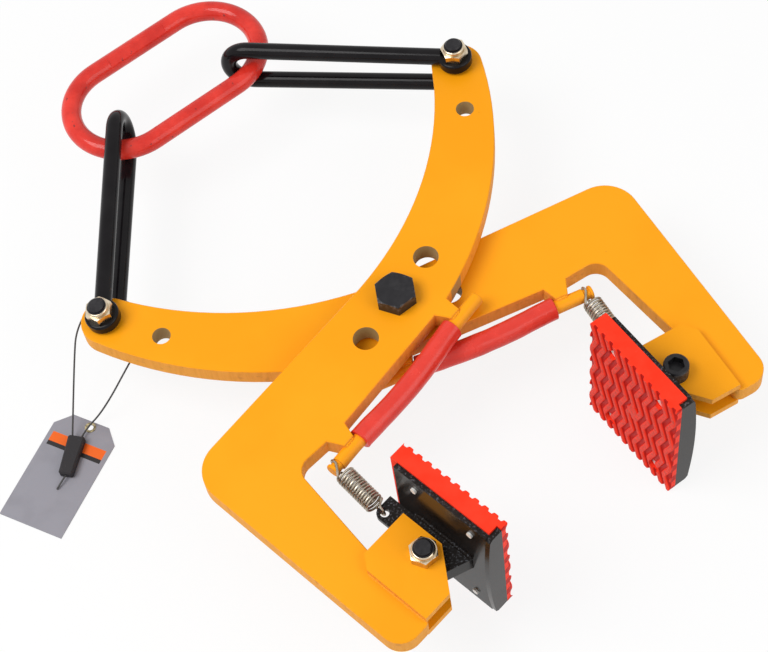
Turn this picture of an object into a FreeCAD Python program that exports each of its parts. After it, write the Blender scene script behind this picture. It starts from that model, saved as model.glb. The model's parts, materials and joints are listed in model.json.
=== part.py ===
import FreeCAD, Part
import math
import os

# Scissor lifting tongs lying flat: two crossed arms on one pivot bolt, a swivelling rubber pad
# at each foot, and two long shackles from the arm tips to an oval lifting ring.
# Built about the pivot: X across the jaw, Y towards the ring, Z square to the plates.
# The lower arm is the upper arm turned half a turn about Y.

# Arm plates
PLATE_T = 20.0
PLATE_EDGE = 0.8
ARM_GAP = 3.0
RUN_GAP = 0.5

# Arm outline of the upper arm, from the pivot
TIP_X = 218.5
TIP_Y = 176.5
TIP_R = 25.5
TIP_BORE = 19.0
SPARE_TIP_BORE = 18.0
SPARE_TIP_IN = 30.0
SPARE_TIP_DOWN = 49.5
HOLLOW_R = 358.0
BELLY_R = 392.0
NECK_X = -20.0
NECK_Y = 31.0
SHOULDER_X = -257.5
SHOULDER_Y = -21.0
SHOULDER_R = 34.0
FOOT_OUT_X = -216.3
FOOT_OUT_Y = -280.0
FOOT_OUT_R = 20.0
LEG_IN_X = -180.0
FOOT_IN_Y = -274.0
FOOT_IN_R = 8.0
JAW_TOP_Y = -82.0
JAW_R = 15.0
LOW_TAB_X = -142.5
LOW_TAB_Y = -78.0
RECESS_LOW_X = -118.3
RECESS_LOW_Y = -73.5
RECESS_UP_X = 15.0
RECESS_UP_Y = -39.0
UP_TAB_X = 35.0
UP_TAB_Y = -32.0
SPARE_PIVOT_PITCH = 52.0
SPARE_PIVOT_BORE = 24.6
SPARE_PIVOT_TURN = 18.6

# Handle rod across the recess, bowed outwards between the tabs, and its sleeve
ROD_D = 14.0
ROD_OFFSET = 17.7
ROD_PAST = 42.3
ROD_BOW = 6.0
ROD_BEND_R = 480.0
ROD_CHAMFER = 0.8
TAB_REACH = 14.5
TAB_IN = 6.0
TAB_OUT = 18.5
SLEEVE_D = 22.0
SLEEVE_END_GAP = 0.4
GROOVE_D = 11.0
GROOVE_W = 7.0
GROOVE_FROM_END = 6.3

# Fork cheeks on the foot, square to the outer edge of the leg
PAD_PIVOT_X = -147.0
PAD_PIVOT_Y = -225.0
CHEEK_T = 8.0
CHEEK_OUT = 43.0
CHEEK_IN = 17.5
CHEEK_UP = 40.5
CHEEK_DOWN = 41.0
CHEEK_NICK_X = 10.0
CHEEK_NICK_Y = 12.5
CHEEK_CUT_X = 30.0
CHEEK_CUT_Y = 36.0

# Pivot bolt, its washers and nut
PIVOT_D = 24.0
PIVOT_FIT = 0.1
PIVOT_HEX = 36.0
PIVOT_HEAD_H = 14.0
PIVOT_NUT_H = 22.0
PIVOT_TAIL = 4.0
THRUST_D = 46.0
END_WASHER_D = 44.0
END_WASHER_T = 4.0

# Socket head screws and lock nuts of the pads and shackles
SCREW_D = 16.0
SCREW_HEAD_D = 24.0
SCREW_HEAD_H = 16.0
SCREW_CHAMFER = 1.2
SCREW_TAIL = 3.5
SOCKET_HEX = 14.0
SOCKET_DEPTH = 8.0
NUT_HEX = 24.0
NUT_HEX_H = 9.5
NUT_COLLAR_D = 21.5
NUT_COLLAR_H = 4.0
NUT_COLLAR_R = 2.0

# Jaw pads, from the pad pivot towards the face
UPPER_PAD_TURN = 9.0
LOWER_PAD_TURN = 2.5
LUG_PLAY = 1.0
LUG_FIT = 0.1
LUG_R = 20.0
LUG_ROOT_DOWN = 32.0
LUG_ROOT_UP = 36.0
EAR_T = 5.0
EAR_X = 11.5
EAR_Y = 59.0
EAR_BORE = 8.5
EAR_R = 7.5
PAD_BACK = 27.0
BACK_T = 5.0
BACK_L = 110.0
BACK_H = 150.0
FLANGE_T = 5.0
FLANGE_DEEP = 15.0
FLANGE_BULGE = 4.5
FLANGE_CUT = 3.0
RUBBER_PAST = 8.0
RUBBER_OVER = 3.0
RUBBER_FRONT_T = 5.5
RUBBER_PLAY = 0.4
RUBBER_CORNER = 3.0
TREAD_T = 2.5
TREAD_COLUMNS = 11
TREAD_W = 7.0
TREAD_BENDS = 7
TREAD_SWING = 7.4
BOSS_L = 17.0
BOSS_H = 27.0
PAD_SCREW_D = 6.0
PAD_SCREW_HEAD_D = 11.0
PAD_SCREW_HEAD_T = 4.0
PAD_SCREW_WELL = 13.0
PAD_SCREW_INSET_Y = 23.0
PAD_SCREW_INSET_Z = 15.0
PAD_SCREW_TAIL = 2.0
PAD_SCREW_SLOT_W = 1.6
PAD_SCREW_SLOT_T = 1.4

# Return springs
WIRE_D = 2.2
COIL_D = 17.4
COIL_TURNS = 14
COIL_FROM_ROD = 10.5
COIL_FROM_EAR = 13.0
COIL_TAKE_OFF = 60.0
ROD_LOOP_PLAY = 0.5
ROD_LOOP_RUN = 4.0
EAR_LOOP_R = 6.0
LOOP_SWEEP = 240.0

# Shackles
SHACKLE_PLAY = 2.6
SHACKLE_BAR = 17.0
SHACKLE_L = 215.5
EYE_LEG = 20.2
BIGHT_R = 23.5
EYE_D = 34.0
EYE_T = 12.0
EYE_ROUND = 2.5
EYE_FIT = 0.4
LOWER_BIGHT_SAG = 5.0
LEAN_TURN = -6.5

# Lifting ring, and where the shackles' bights lie on it
BIGHT_HALF = 77.8
BIGHT_SWAY = -8.4
RING_BAR = 20.6
RING_END_R = 56.0
RING_HALF = 51.5
RING_SIDE = 1.6
RING_DROP = 14.8
RING_REST = 0.9
RING_FLAT_L = 70.0
RING_FLAT_DEEP = 0.9
RING_FLAT_TURN = 35.0

# Tag, lying flat beside the lower arm's tip
TAG_X = -388.8
TAG_Y = 89.8
TAG_TURN = 27.0
TAG_LIFT = 0.2
TAG_L = 122.0
TAG_W = 69.0
TAG_T = 1.2
TAG_CUT_X = 15.0
TAG_CUT_Y = 14.5
EYELET_FROM_TOP = 6.7
EYELET_SIDE = -2.5
EYELET_D = 11.0
EYELET_BORE = 6.5
EYELET_T = 0.8
LOCK_FROM_TOP = 22.5
LOCK_SIDE = 2.2
LOCK_TURN = 13.5
LOCK_L = 42.0
LOCK_W = 17.0
LOCK_END_W = 14.0
LOCK_T = 9.0
LOCK_ROUND = 1.5
CORD_D = 1.8
TAIL_L = 15.0
TAIL_TURN = -22.0

# Route of the tag's wire: from the lock, over the lower leg of the lower shackle and under
# the arm's tip to the eyelet and back into the lock
CORD_BEND_SHARE = 0.45
CORD_ROUTE = [
    (-305.9, 138.8, -83.6),
    (-283.8, 161.8, -62.0),
    (-261.5, 183.8, -38.0),
    (-244.5, 200.5, -22.8),
    (-218.0, 214.5, -21.3),
    (-185.0, 194.7, -20.9),
    (-185.0, 194.7, -45.0),
    (-192.0, 165.0, -46.0),
    (-228.5, 146.2, -47.0),
    (-252.0, 140.5, -62.0),
    (-272.0, 139.8, -78.0),
    (-287.0, 140.5, -84.9),
    (-300.7, 133.0, -83.6),
]

OVERRUN = 5.0
HEX_SIDES = 6
BEVEL_TURN = 30.0
QUARTER_TURN = 90.0
HALF_TURN = 180.0

# Sizes that follow from those above
LUG_T = PLATE_T - 2 * LUG_PLAY
SLEEVE_PAST = TAB_IN * (ROD_OFFSET - SLEEVE_D / 2) / TAB_REACH - SLEEVE_END_GAP
SHACKLE_GAP = PLATE_T + 2 * SHACKLE_PLAY
SHACKLE_GRIP = SHACKLE_GAP + 2 * EYE_T
FORK_GRIP = PLATE_T + 2 * CHEEK_T
MID_Z = (PLATE_T + ARM_GAP) / 2
ARM_FACE = ARM_GAP / 2
FLANGE_FRONT = PAD_BACK + FLANGE_DEEP
RUBBER_FRONT = FLANGE_FRONT + RUBBER_FRONT_T
RUBBER_L = BACK_L + RUBBER_PAST
RUBBER_H = BACK_H + 2 * RUBBER_OVER
GROUND_Z = -MID_Z - RUBBER_H / 2
UP = FreeCAD.Vector(0, 0, 1)
ALONG = FreeCAD.Vector(1, 0, 0)
ORIGIN = FreeCAD.Vector(0, 0, 0)


def vec(x, y, z=0):
    return FreeCAD.Vector(x, y, z)


def unit(v):
    return FreeCAD.Vector(v).normalize()


def polar(turn):
    return vec(math.cos(math.radians(turn)), math.sin(math.radians(turn)))


def placed(shape, move, turn=0, axis=UP):
    moved = shape.copy()
    moved.rotate(ORIGIN, axis, turn)
    moved.translate(move)
    return moved


def flipped(shape):
    """Half turn about Y: an upper piece becomes its lower twin."""
    return placed(shape, ORIGIN, HALF_TURN, vec(0, 1))


def rod(r, length, base=ORIGIN, axis=UP):
    return Part.makeCylinder(r, length, base, axis)


def rims(solid, lowest, highest):
    """Closed edges whose centres lie between two heights."""
    return [e for e in solid.Edges if e.isClosed() and lowest < e.CenterOfMass.z < highest]


def line(a, b):
    return Part.LineSegment(a, b).toShape()


def outline(points):
    """Straight edges from each point to the next and back to the first."""
    return [line(a, b) for a, b in zip(points, points[1:] + points[:1])]


def arc_about(centre, a, b, bulge):
    """Arc from a to b about a centre, through the side that bulge points to."""
    return Part.Arc(a, centre + unit(bulge) * centre.distanceToPoint(a), b).toShape()


def chain(corners):
    """Straight runs through corners given as (point, radius), with tangent arcs where a radius is set."""
    edges = []
    last = corners[0][0]
    for before, (point, r), after in zip(corners, corners[1:], corners[2:]):
        if r == 0:
            edges.append(line(last, point))
            last = point
            continue
        to_before = unit(before[0] - point)
        to_after = unit(after[0] - point)
        half = to_before.getAngle(to_after) / 2
        centre = point + unit(to_before + to_after) * (r / math.sin(half))
        start = point + to_before * (r / math.tan(half))
        end = point + to_after * (r / math.tan(half))
        edges.append(line(last, start))
        edges.append(arc_about(centre, start, end, point - centre))
        last = end
    edges.append(line(last, corners[-1][0]))
    return edges


def slab(edges, bottom, height):
    """Flat outline raised from one height to another."""
    solid = Part.Face(Part.Wire(edges)).extrude(UP * height)
    solid.translate(UP * bottom)
    return solid


def hexagon(across, height, bottom):
    r = across / (2 * math.cos(math.pi / HEX_SIDES))
    corners = [polar(2 * HALF_TURN * k / HEX_SIDES) * r for k in range(HEX_SIDES)]
    return slab(outline(corners), bottom, height)


def bevelled(solid, across, bottom, height, both_ends):
    """Takes the corners off a hexagon's end faces, as a lathe does."""
    r = across / 2
    flare = height / math.tan(math.radians(BEVEL_TURN))
    solid = solid.common(Part.makeCone(r + flare, r, height, UP * bottom))
    if both_ends:
        solid = solid.common(Part.makeCone(r, r + flare, height, UP * bottom))
    return solid


def meet(p, rp, q, rq):
    """Point at distance rp from p and rq from q, to the left of the way from p to q."""
    way = unit(q - p)
    gap = p.distanceToPoint(q)
    along = (rp ** 2 - rq ** 2 + gap ** 2) / (2 * gap)
    return p + way * along + vec(-way.y, way.x) * math.sqrt(rp ** 2 - along ** 2)


# Places on the upper arm that several pieces share
TIP = vec(TIP_X, TIP_Y)
PAD_PIVOT = vec(PAD_PIVOT_X, PAD_PIVOT_Y)
RECESS_LOW = vec(RECESS_LOW_X, RECESS_LOW_Y)
RECESS_UP = vec(RECESS_UP_X, RECESS_UP_Y)
RECESS_L = RECESS_LOW.distanceToPoint(RECESS_UP)
RECESS_WAY = unit(RECESS_UP - RECESS_LOW)
RECESS_OUT = vec(RECESS_WAY.y, -RECESS_WAY.x)
LEG_LEAN = math.degrees(math.atan2(FOOT_OUT_X - SHOULDER_X, SHOULDER_Y - FOOT_OUT_Y))


def by_recess(along, out):
    """Point along the recess edge from its lower corner, and out from that edge."""
    return RECESS_LOW + RECESS_WAY * along + RECESS_OUT * out


ROD_END = by_recess(-ROD_PAST, ROD_OFFSET) + UP * MID_Z
SPRING_HOOK = ROD_END + RECESS_WAY * GROOVE_FROM_END


def arm_outline():
    neck = vec(NECK_X, NECK_Y)
    up_tab = vec(UP_TAB_X, UP_TAB_Y)
    hollow = meet(neck, HOLLOW_R, TIP, HOLLOW_R + TIP_R)
    belly = meet(up_tab, BELLY_R, TIP, BELLY_R - TIP_R)
    tip_in = TIP + unit(hollow - TIP) * TIP_R
    tip_out = TIP + unit(TIP - belly) * TIP_R
    edges = chain([
        (up_tab, 0),
        (by_recess(RECESS_L + TAB_OUT, TAB_REACH), 0),
        (by_recess(RECESS_L + TAB_IN, TAB_REACH), 0),
        (RECESS_UP, 0),
        (RECESS_LOW, 0),
        (by_recess(-TAB_IN, TAB_REACH), 0),
        (by_recess(-TAB_OUT, TAB_REACH), 0),
        (vec(LOW_TAB_X, LOW_TAB_Y), 0),
        (vec(LEG_IN_X, JAW_TOP_Y), JAW_R),
        (vec(LEG_IN_X, FOOT_IN_Y), FOOT_IN_R),
        (vec(FOOT_OUT_X, FOOT_OUT_Y), FOOT_OUT_R),
        (vec(SHOULDER_X, SHOULDER_Y), SHOULDER_R),
        (neck, 0),
    ])
    edges.append(arc_about(hollow, neck, tip_in, (neck + tip_in) * 0.5 - hollow))
    edges.append(arc_about(TIP, tip_in, tip_out, TIP - (neck + up_tab) * 0.5))
    edges.append(arc_about(belly, tip_out, up_tab, (tip_out + up_tab) * 0.5 - belly))
    return edges


def arm(pivot_bore):
    solid = slab(arm_outline(), ARM_FACE, PLATE_T)
    flat = [e for e in solid.Edges if abs(e.tangentAt(e.FirstParameter).z) < 0.5]
    solid = solid.makeChamfer(PLATE_EDGE, flat)
    spare = polar(SPARE_PIVOT_TURN) * SPARE_PIVOT_PITCH
    bores = [
        (ORIGIN, pivot_bore),
        (spare, SPARE_PIVOT_BORE),
        (-spare, SPARE_PIVOT_BORE),
        (TIP, TIP_BORE),
        (TIP - vec(SPARE_TIP_IN, SPARE_TIP_DOWN), SPARE_TIP_BORE),
    ]
    base = UP * (ARM_FACE - OVERRUN)
    cuts = [rod(bore / 2, PLATE_T + 2 * OVERRUN, centre + base) for centre, bore in bores]
    return solid.cut(cuts + [plain_rod()])


def cheek(bottom):
    points = [
        vec(-CHEEK_OUT, CHEEK_UP - CHEEK_NICK_Y),
        vec(CHEEK_NICK_X - CHEEK_OUT, CHEEK_UP),
        vec(CHEEK_IN, CHEEK_UP),
        vec(CHEEK_IN, CHEEK_CUT_Y - CHEEK_DOWN),
        vec(CHEEK_IN - CHEEK_CUT_X, -CHEEK_DOWN),
        vec(-CHEEK_OUT, -CHEEK_DOWN),
    ]
    solid = slab(outline(points), bottom, CHEEK_T)
    solid = solid.cut(rod(SCREW_D / 2, CHEEK_T, UP * bottom))
    return placed(solid, PAD_PIVOT, LEG_LEAN)


def handle_path():
    """Line of the rod: straight at both ends, with a long gentle bow between the tabs."""
    places = [(-ROD_PAST, 0), (0, 0), (RECESS_L / 2, ROD_BOW), (RECESS_L, 0), (RECESS_L + ROD_PAST, 0)]
    points = [by_recess(along, ROD_OFFSET + bow) + UP * MID_Z for along, bow in places]
    return chain([(point, ROD_BEND_R) for point in points])


def plain_rod():
    return tube(handle_path(), ROD_D)


def handle_rod():
    solid = plain_rod()
    far_end = by_recess(RECESS_L + ROD_PAST, ROD_OFFSET) + UP * MID_Z
    ends = [Part.Vertex(ROD_END), Part.Vertex(far_end)]
    rims_there = [e for e in solid.Edges if e.isClosed() and min(e.distToShape(v)[0] for v in ends) < ROD_D]
    solid = solid.makeChamfer(ROD_CHAMFER, rims_there)
    start = SPRING_HOOK - RECESS_WAY * (GROOVE_W / 2)
    groove = rod(ROD_D, GROOVE_W, start, RECESS_WAY)
    return solid.cut(groove.cut(rod(GROOVE_D / 2, GROOVE_W, start, RECESS_WAY)))


def handle_sleeve():
    start = by_recess(-SLEEVE_PAST, ROD_OFFSET) + UP * MID_Z
    stretch = rod(2 * SLEEVE_D, RECESS_L + 2 * SLEEVE_PAST, start, RECESS_WAY)
    return tube(handle_path(), SLEEVE_D).common(stretch).cut(plain_rod())


def pivot_bolt():
    top = ARM_FACE + PLATE_T
    length = 2 * top + RUN_GAP + END_WASHER_T + PIVOT_NUT_H + PIVOT_TAIL
    head = bevelled(hexagon(PIVOT_HEX, PIVOT_HEAD_H, top), PIVOT_HEX, top, PIVOT_HEAD_H, False)
    shank = rod(PIVOT_D / 2, length, UP * (top - length))
    shank = shank.makeChamfer(SCREW_CHAMFER, rims(shank, -length, 0))
    return head.fuse(shank).removeSplitter()


def washer(d, t, top):
    return rod(d / 2, t, UP * (top - t)).cut(rod(PIVOT_D / 2, t, UP * (top - t)))


def pivot_nut():
    bottom = -ARM_FACE - PLATE_T - RUN_GAP - END_WASHER_T - PIVOT_NUT_H
    solid = bevelled(hexagon(PIVOT_HEX, PIVOT_NUT_H, bottom), PIVOT_HEX, bottom, PIVOT_NUT_H, True)
    return solid.cut(rod(PIVOT_D / 2, PIVOT_NUT_H, UP * bottom))


def socket_screw(grip):
    """Screw along Z with its head under the grip and its end through the nut on top."""
    foot = -grip / 2
    head = rod(SCREW_HEAD_D / 2, SCREW_HEAD_H, UP * (foot - SCREW_HEAD_H))
    head = head.makeChamfer(SCREW_CHAMFER, rims(head, foot - 2 * SCREW_HEAD_H, foot - SCREW_HEAD_H / 2))
    shank = rod(SCREW_D / 2, grip + NUT_HEX_H + NUT_COLLAR_H + SCREW_TAIL, UP * foot)
    shank = shank.makeChamfer(SCREW_CHAMFER, rims(shank, 0, 2 * grip))
    socket = hexagon(SOCKET_HEX, SOCKET_DEPTH + OVERRUN, foot - SCREW_HEAD_H - OVERRUN)
    return head.fuse(shank).removeSplitter().cut(socket)


def lock_nut(grip):
    """Hexagon nut with a rounded collar, on top of the grip."""
    bottom = grip / 2
    solid = bevelled(hexagon(NUT_HEX, NUT_HEX_H, bottom), NUT_HEX, bottom, NUT_HEX_H, True)
    collar = rod(NUT_COLLAR_D / 2, NUT_COLLAR_H, UP * (bottom + NUT_HEX_H))
    collar = collar.makeFillet(NUT_COLLAR_R, rims(collar, bottom + NUT_HEX_H + NUT_COLLAR_H / 2, 2 * grip))
    solid = solid.fuse(collar).removeSplitter()
    return solid.cut(rod(SCREW_D / 2, NUT_HEX_H + NUT_COLLAR_H, UP * bottom))


def pad_screw_places():
    y = BACK_L / 2 - PAD_SCREW_INSET_Y
    z = BACK_H / 2 - PAD_SCREW_INSET_Z
    return [(side * y, level * z) for side in (-1, 1) for level in (-1, 1)]


def pad_plate():
    """Back plate with a flange at its outer end, bowed at the rear edge and cut at the corners."""
    inside = BACK_L - FLANGE_T
    solid = Part.makeBox(BACK_T, inside, BACK_H, vec(PAD_BACK, FLANGE_T - BACK_L / 2, -BACK_H / 2))
    top = BACK_H / 2
    corners = [
        vec(PAD_BACK, 0, FLANGE_CUT - top),
        vec(PAD_BACK + FLANGE_CUT, 0, -top),
        vec(FLANGE_FRONT, 0, -top),
        vec(FLANGE_FRONT, 0, top),
        vec(PAD_BACK + FLANGE_CUT, 0, top),
        vec(PAD_BACK, 0, top - FLANGE_CUT),
    ]
    edges = outline(corners)[:-1]
    edges.append(Part.Arc(corners[-1], vec(PAD_BACK - FLANGE_BULGE, 0), corners[0]).toShape())
    flange = Part.Face(Part.Wire(edges)).extrude(vec(0, FLANGE_T))
    solid = solid.fuse(placed(flange, vec(0, -BACK_L / 2))).removeSplitter()
    holes = [rod(PAD_SCREW_D / 2, BACK_T, vec(PAD_BACK, y, z), ALONG) for y, z in pad_screw_places()]
    return solid.cut(holes)


def tangent_point(root, r, side):
    """Where the straight edge from a root point touches a circle about the origin."""
    reach = math.hypot(root.x, root.y)
    swing = math.degrees(math.acos(r / reach))
    return polar(math.degrees(math.atan2(root.y, root.x)) + side * swing) * r


def pad_lug():
    low = vec(PAD_BACK, -LUG_ROOT_DOWN)
    high = vec(PAD_BACK, LUG_ROOT_UP)
    low_touch = tangent_point(low, LUG_R, -1)
    high_touch = tangent_point(high, LUG_R, 1)
    edges = [
        line(high, low),
        line(low, low_touch),
        arc_about(ORIGIN, low_touch, high_touch, -ALONG),
        line(high_touch, high),
    ]
    solid = slab(edges, -LUG_T / 2, LUG_T)
    ear = slab(chain([
        (vec(PAD_BACK, 0), 0),
        (vec(PAD_BACK, EAR_Y + EAR_R), 0),
        (vec(EAR_X - EAR_R, EAR_Y + EAR_R), EAR_R),
        (vec(EAR_X - EAR_R, 0), 0),
        (vec(PAD_BACK, 0), 0),
    ]), -EAR_T / 2, EAR_T)
    solid = solid.fuse(ear).removeSplitter()
    pin = rod((SCREW_D + LUG_FIT) / 2, LUG_T, UP * (-LUG_T / 2))
    hook = rod(EAR_BORE / 2, LUG_T, vec(EAR_X, EAR_Y, -LUG_T / 2))
    return solid.cut([pin, hook])


def rubber_block(start, depth):
    """Slice of the rubber's outline, with rounded corners."""
    block = Part.makeBox(depth, RUBBER_L, RUBBER_H, vec(start, -BACK_L / 2, -RUBBER_H / 2))
    return block.makeFillet(RUBBER_CORNER, [e for e in block.Edges if abs(e.tangentAt(0).x) > 0.5])


def raised(points):
    """Outline on the front sheet, raised to the height of the tread."""
    return Part.Face(Part.Wire(outline(points))).extrude(ALONG * TREAD_T)


def tread_rib(y):
    """Zigzag rib from the lower edge of the sheet to the upper."""
    rise = RUBBER_H / TREAD_BENDS
    bends = [(TREAD_SWING / 2 * (-1) ** k, k * rise - RUBBER_H / 2) for k in range(TREAD_BENDS + 1)]
    left = [vec(RUBBER_FRONT, y + sway - TREAD_W / 2, z) for sway, z in bends]
    right = [vec(RUBBER_FRONT, y + sway + TREAD_W / 2, z) for sway, z in bends]
    return raised(left + right[::-1])


def pad_rubber():
    """Treaded block that fills the plate as far as the flange and covers the flange's front edge."""
    start = PAD_BACK + BACK_T
    block = rubber_block(start, RUBBER_FRONT - start)
    room = Part.makeBox(FLANGE_FRONT - start, FLANGE_T + RUBBER_PLAY, RUBBER_H)
    room.translate(vec(start, -BACK_L / 2, -RUBBER_H / 2))
    tread = rubber_block(RUBBER_FRONT, TREAD_T)
    pitch = RUBBER_L / TREAD_COLUMNS
    places = [(k + 0.5) * pitch - BACK_L / 2 for k in range(TREAD_COLUMNS)]
    ribs = [tread_rib(y).common(tread) for y in places]
    boss = raised([
        vec(RUBBER_FRONT, -BOSS_L / 2, 0),
        vec(RUBBER_FRONT, 0, -BOSS_H / 2),
        vec(RUBBER_FRONT, BOSS_L / 2, 0),
        vec(RUBBER_FRONT, 0, BOSS_H / 2),
    ])
    solid = block.cut(room).fuse([boss] + ribs).removeSplitter()
    cuts = []
    for y, z in pad_screw_places():
        cuts.append(rod(PAD_SCREW_D / 2, FLANGE_DEEP, vec(PAD_BACK, y, z), ALONG))
        well = RUBBER_FRONT_T + TREAD_T + OVERRUN
        cuts.append(rod(PAD_SCREW_WELL / 2, well, vec(FLANGE_FRONT, y, z), ALONG))
    return solid.cut(cuts)


def pad_screw():
    shank = rod(PAD_SCREW_D / 2, FLANGE_DEEP + PAD_SCREW_TAIL, ALONG * (PAD_BACK - PAD_SCREW_TAIL), ALONG)
    head = rod(PAD_SCREW_HEAD_D / 2, PAD_SCREW_HEAD_T, ALONG * FLANGE_FRONT, ALONG)
    slot = Part.makeBox(PAD_SCREW_SLOT_T, PAD_SCREW_HEAD_D, PAD_SCREW_SLOT_W)
    slot.translate(vec(PAD_SCREW_HEAD_T - PAD_SCREW_SLOT_T, -PAD_SCREW_HEAD_D / 2, -PAD_SCREW_SLOT_W / 2))
    slot.translate(ALONG * FLANGE_FRONT)
    return head.fuse(shank).removeSplitter().cut(slot)


def pad_screws():
    return Part.makeCompound([placed(pad_screw(), vec(0, y, z)) for y, z in pad_screw_places()])


def on_pad(shape, turn):
    return placed(shape, PAD_PIVOT + UP * MID_Z, turn)


def biarc(p, tp, q, tq):
    """Two tangent arcs from p to q, leaving along tp and arriving along tq."""
    v = q - p
    a = 2 * (tp.dot(tq) - 1)
    b = -2 * v.dot(tp + tq)
    c = v.dot(v)
    reach = 2 * c / (math.sqrt(b ** 2 - 4 * a * c) - b)
    first = p + tp * reach
    second = q - tq * reach
    middle = (first + second) * 0.5
    arcs = []
    for start, corner, end in ((p, first, middle), (middle, second, q)):
        to_start = unit(start - corner)
        to_end = unit(end - corner)
        half = to_start.getAngle(to_end) / 2
        centre = corner + unit(to_start + to_end) * (reach / math.cos(half))
        arcs.append(arc_about(centre, start, end, corner - centre))
    return arcs


def spring_path(ear):
    """Loop round the rod, coil of half turns, loop through the ear: tangent arcs all the way."""
    way = unit(ear - SPRING_HOOK)
    side = way.cross(UP)
    rod_r = (GROOVE_D + WIRE_D) / 2 + ROD_LOOP_PLAY
    coil_l = SPRING_HOOK.distanceToPoint(ear) - COIL_FROM_ROD - COIL_FROM_EAR
    swept = 2 * HALF_TURN * COIL_TURNS - 2 * COIL_TAKE_OFF
    lean = coil_l / math.radians(swept)

    def on_loop(centre, r, turn):
        return centre + way * (r * math.cos(math.radians(turn))) + UP * (r * math.sin(math.radians(turn)))

    def on_coil(share):
        turn = math.radians(COIL_TAKE_OFF + swept * share)
        out = UP * math.cos(turn) + side * math.sin(turn)
        round_way = side * math.cos(turn) - UP * math.sin(turn)
        axis = SPRING_HOOK + way * (COIL_FROM_ROD + coil_l * share)
        return axis + out * (COIL_D / 2), unit(round_way * (COIL_D / 2) + way * lean)

    ear_centre = ear - way * EAR_LOOP_R
    rod_top = on_loop(SPRING_HOOK, rod_r, QUARTER_TURN)
    rod_mid = on_loop(SPRING_HOOK, rod_r, QUARTER_TURN + LOOP_SWEEP / 2)
    rod_free = on_loop(SPRING_HOOK, rod_r, QUARTER_TURN + LOOP_SWEEP)
    ear_top = on_loop(ear_centre, EAR_LOOP_R, QUARTER_TURN)
    ear_mid = on_loop(ear_centre, EAR_LOOP_R, QUARTER_TURN - LOOP_SWEEP / 2)
    ear_free = on_loop(ear_centre, EAR_LOOP_R, QUARTER_TURN - LOOP_SWEEP)
    run_end = rod_top + way * ROD_LOOP_RUN
    edges = [Part.Arc(rod_free, rod_mid, rod_top).toShape(), line(rod_top, run_end)]
    edges += biarc(run_end, way, *on_coil(0))
    halves = math.ceil(swept / HALF_TURN)
    for k in range(halves):
        edges += biarc(*on_coil(k / halves), *on_coil((k + 1) / halves))
    edges += biarc(*on_coil(1), ear_top, way)
    edges.append(Part.Arc(ear_top, ear_mid, ear_free).toShape())
    return edges


def least_gap(edges):
    """Least clear gap between stretches of the spring's wire that are not next to each other."""
    points = []
    run = 0
    for edge in edges:
        count = 3 + int(3 * edge.Length / WIRE_D)
        for point in edge.discretize(count)[:-1]:
            points.append((run, point))
            run += edge.Length / (count - 1)
    least = run
    for k, (at, point) in enumerate(points):
        for there, other in points[k + 1:]:
            if there - at > math.pi * WIRE_D:
                least = min(least, point.distanceToPoint(other))
    return least - WIRE_D


def tube(edges, d):
    """Round tube along tangent edges."""
    start = edges[0].valueAt(edges[0].FirstParameter)
    way = edges[0].tangentAt(edges[0].FirstParameter)
    ring = Part.Wire(Part.makeCircle(d / 2, start, way))
    return Part.Wire(edges).makePipeShell([ring], True, False)


def spring(turn):
    ear = on_pad(Part.Vertex(vec(EAR_X, EAR_Y)), turn).Point
    edges = spring_path(ear)
    tightest = min(e.Curve.Radius for e in edges if hasattr(e.Curve, "Radius"))
    print("spring: least gap", round(least_gap(edges), 2), "tightest", round(tightest, 2))
    return tube(edges, WIRE_D)


def shackle_bar():
    """Hairpin in the XY plane: two legs that spread a little towards the round bight."""
    centre = ALONG * SHACKLE_L
    high = vec(0, EYE_LEG)
    low = vec(0, -EYE_LEG)
    high_touch = centre + tangent_point(high - centre, BIGHT_R, -1)
    low_touch = centre + tangent_point(low - centre, BIGHT_R, 1)
    edges = [line(high, high_touch), arc_about(centre, high_touch, low_touch, ALONG), line(low_touch, low)]
    return tube(edges, SHACKLE_BAR)


def shackle():
    """Hairpin along X from its screw, with a leg above and a leg below the plate."""
    pieces = [placed(shackle_bar(), ORIGIN, QUARTER_TURN, ALONG)]
    for side in (-1, 1):
        eye_low = side * (SHACKLE_GAP + EYE_T) / 2 - EYE_T / 2
        eye = rod(EYE_D / 2, EYE_T, UP * eye_low)
        pieces.append(eye.makeFillet(EYE_ROUND, rims(eye, eye_low - EYE_T, eye_low + 2 * EYE_T)))
    solid = pieces[0].fuse(pieces[1:]).removeSplitter()
    seat_r = SCREW_HEAD_D / 2 + EYE_ROUND
    seat = SHACKLE_GRIP / 2
    cuts = [
        rod((SCREW_D + EYE_FIT) / 2, 2 * SHACKLE_GRIP, UP * -SHACKLE_GRIP),
        rod(seat_r, SHACKLE_BAR, UP * seat),
        rod(seat_r, SHACKLE_BAR, UP * -(seat + SHACKLE_BAR)),
    ]
    return solid.cut(cuts)


UPPER_DIP = math.degrees(math.asin(MID_Z / SHACKLE_L))
LOWER_DIP = math.degrees(math.asin((MID_Z - LOWER_BIGHT_SAG) / SHACKLE_L))
SHACKLE_TURN_UPPER = math.degrees(math.acos((BIGHT_HALF + BIGHT_SWAY - TIP_X) / SHACKLE_L))
SHACKLE_TURN_LOWER = math.degrees(math.acos((BIGHT_HALF - BIGHT_SWAY - TIP_X) / SHACKLE_L))


def on_tip(shape, turn, dip, lean=0):
    """Swings a shackle piece out from the arm's tip, its far end dipped and its legs leaning over."""
    leaning = placed(shape, ORIGIN, lean, ALONG)
    return placed(placed(leaning, ORIGIN, dip, vec(0, 1)), TIP + UP * MID_Z, turn)


def upside_down(shape):
    return placed(shape, ORIGIN, HALF_TURN, ALONG)


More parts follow.
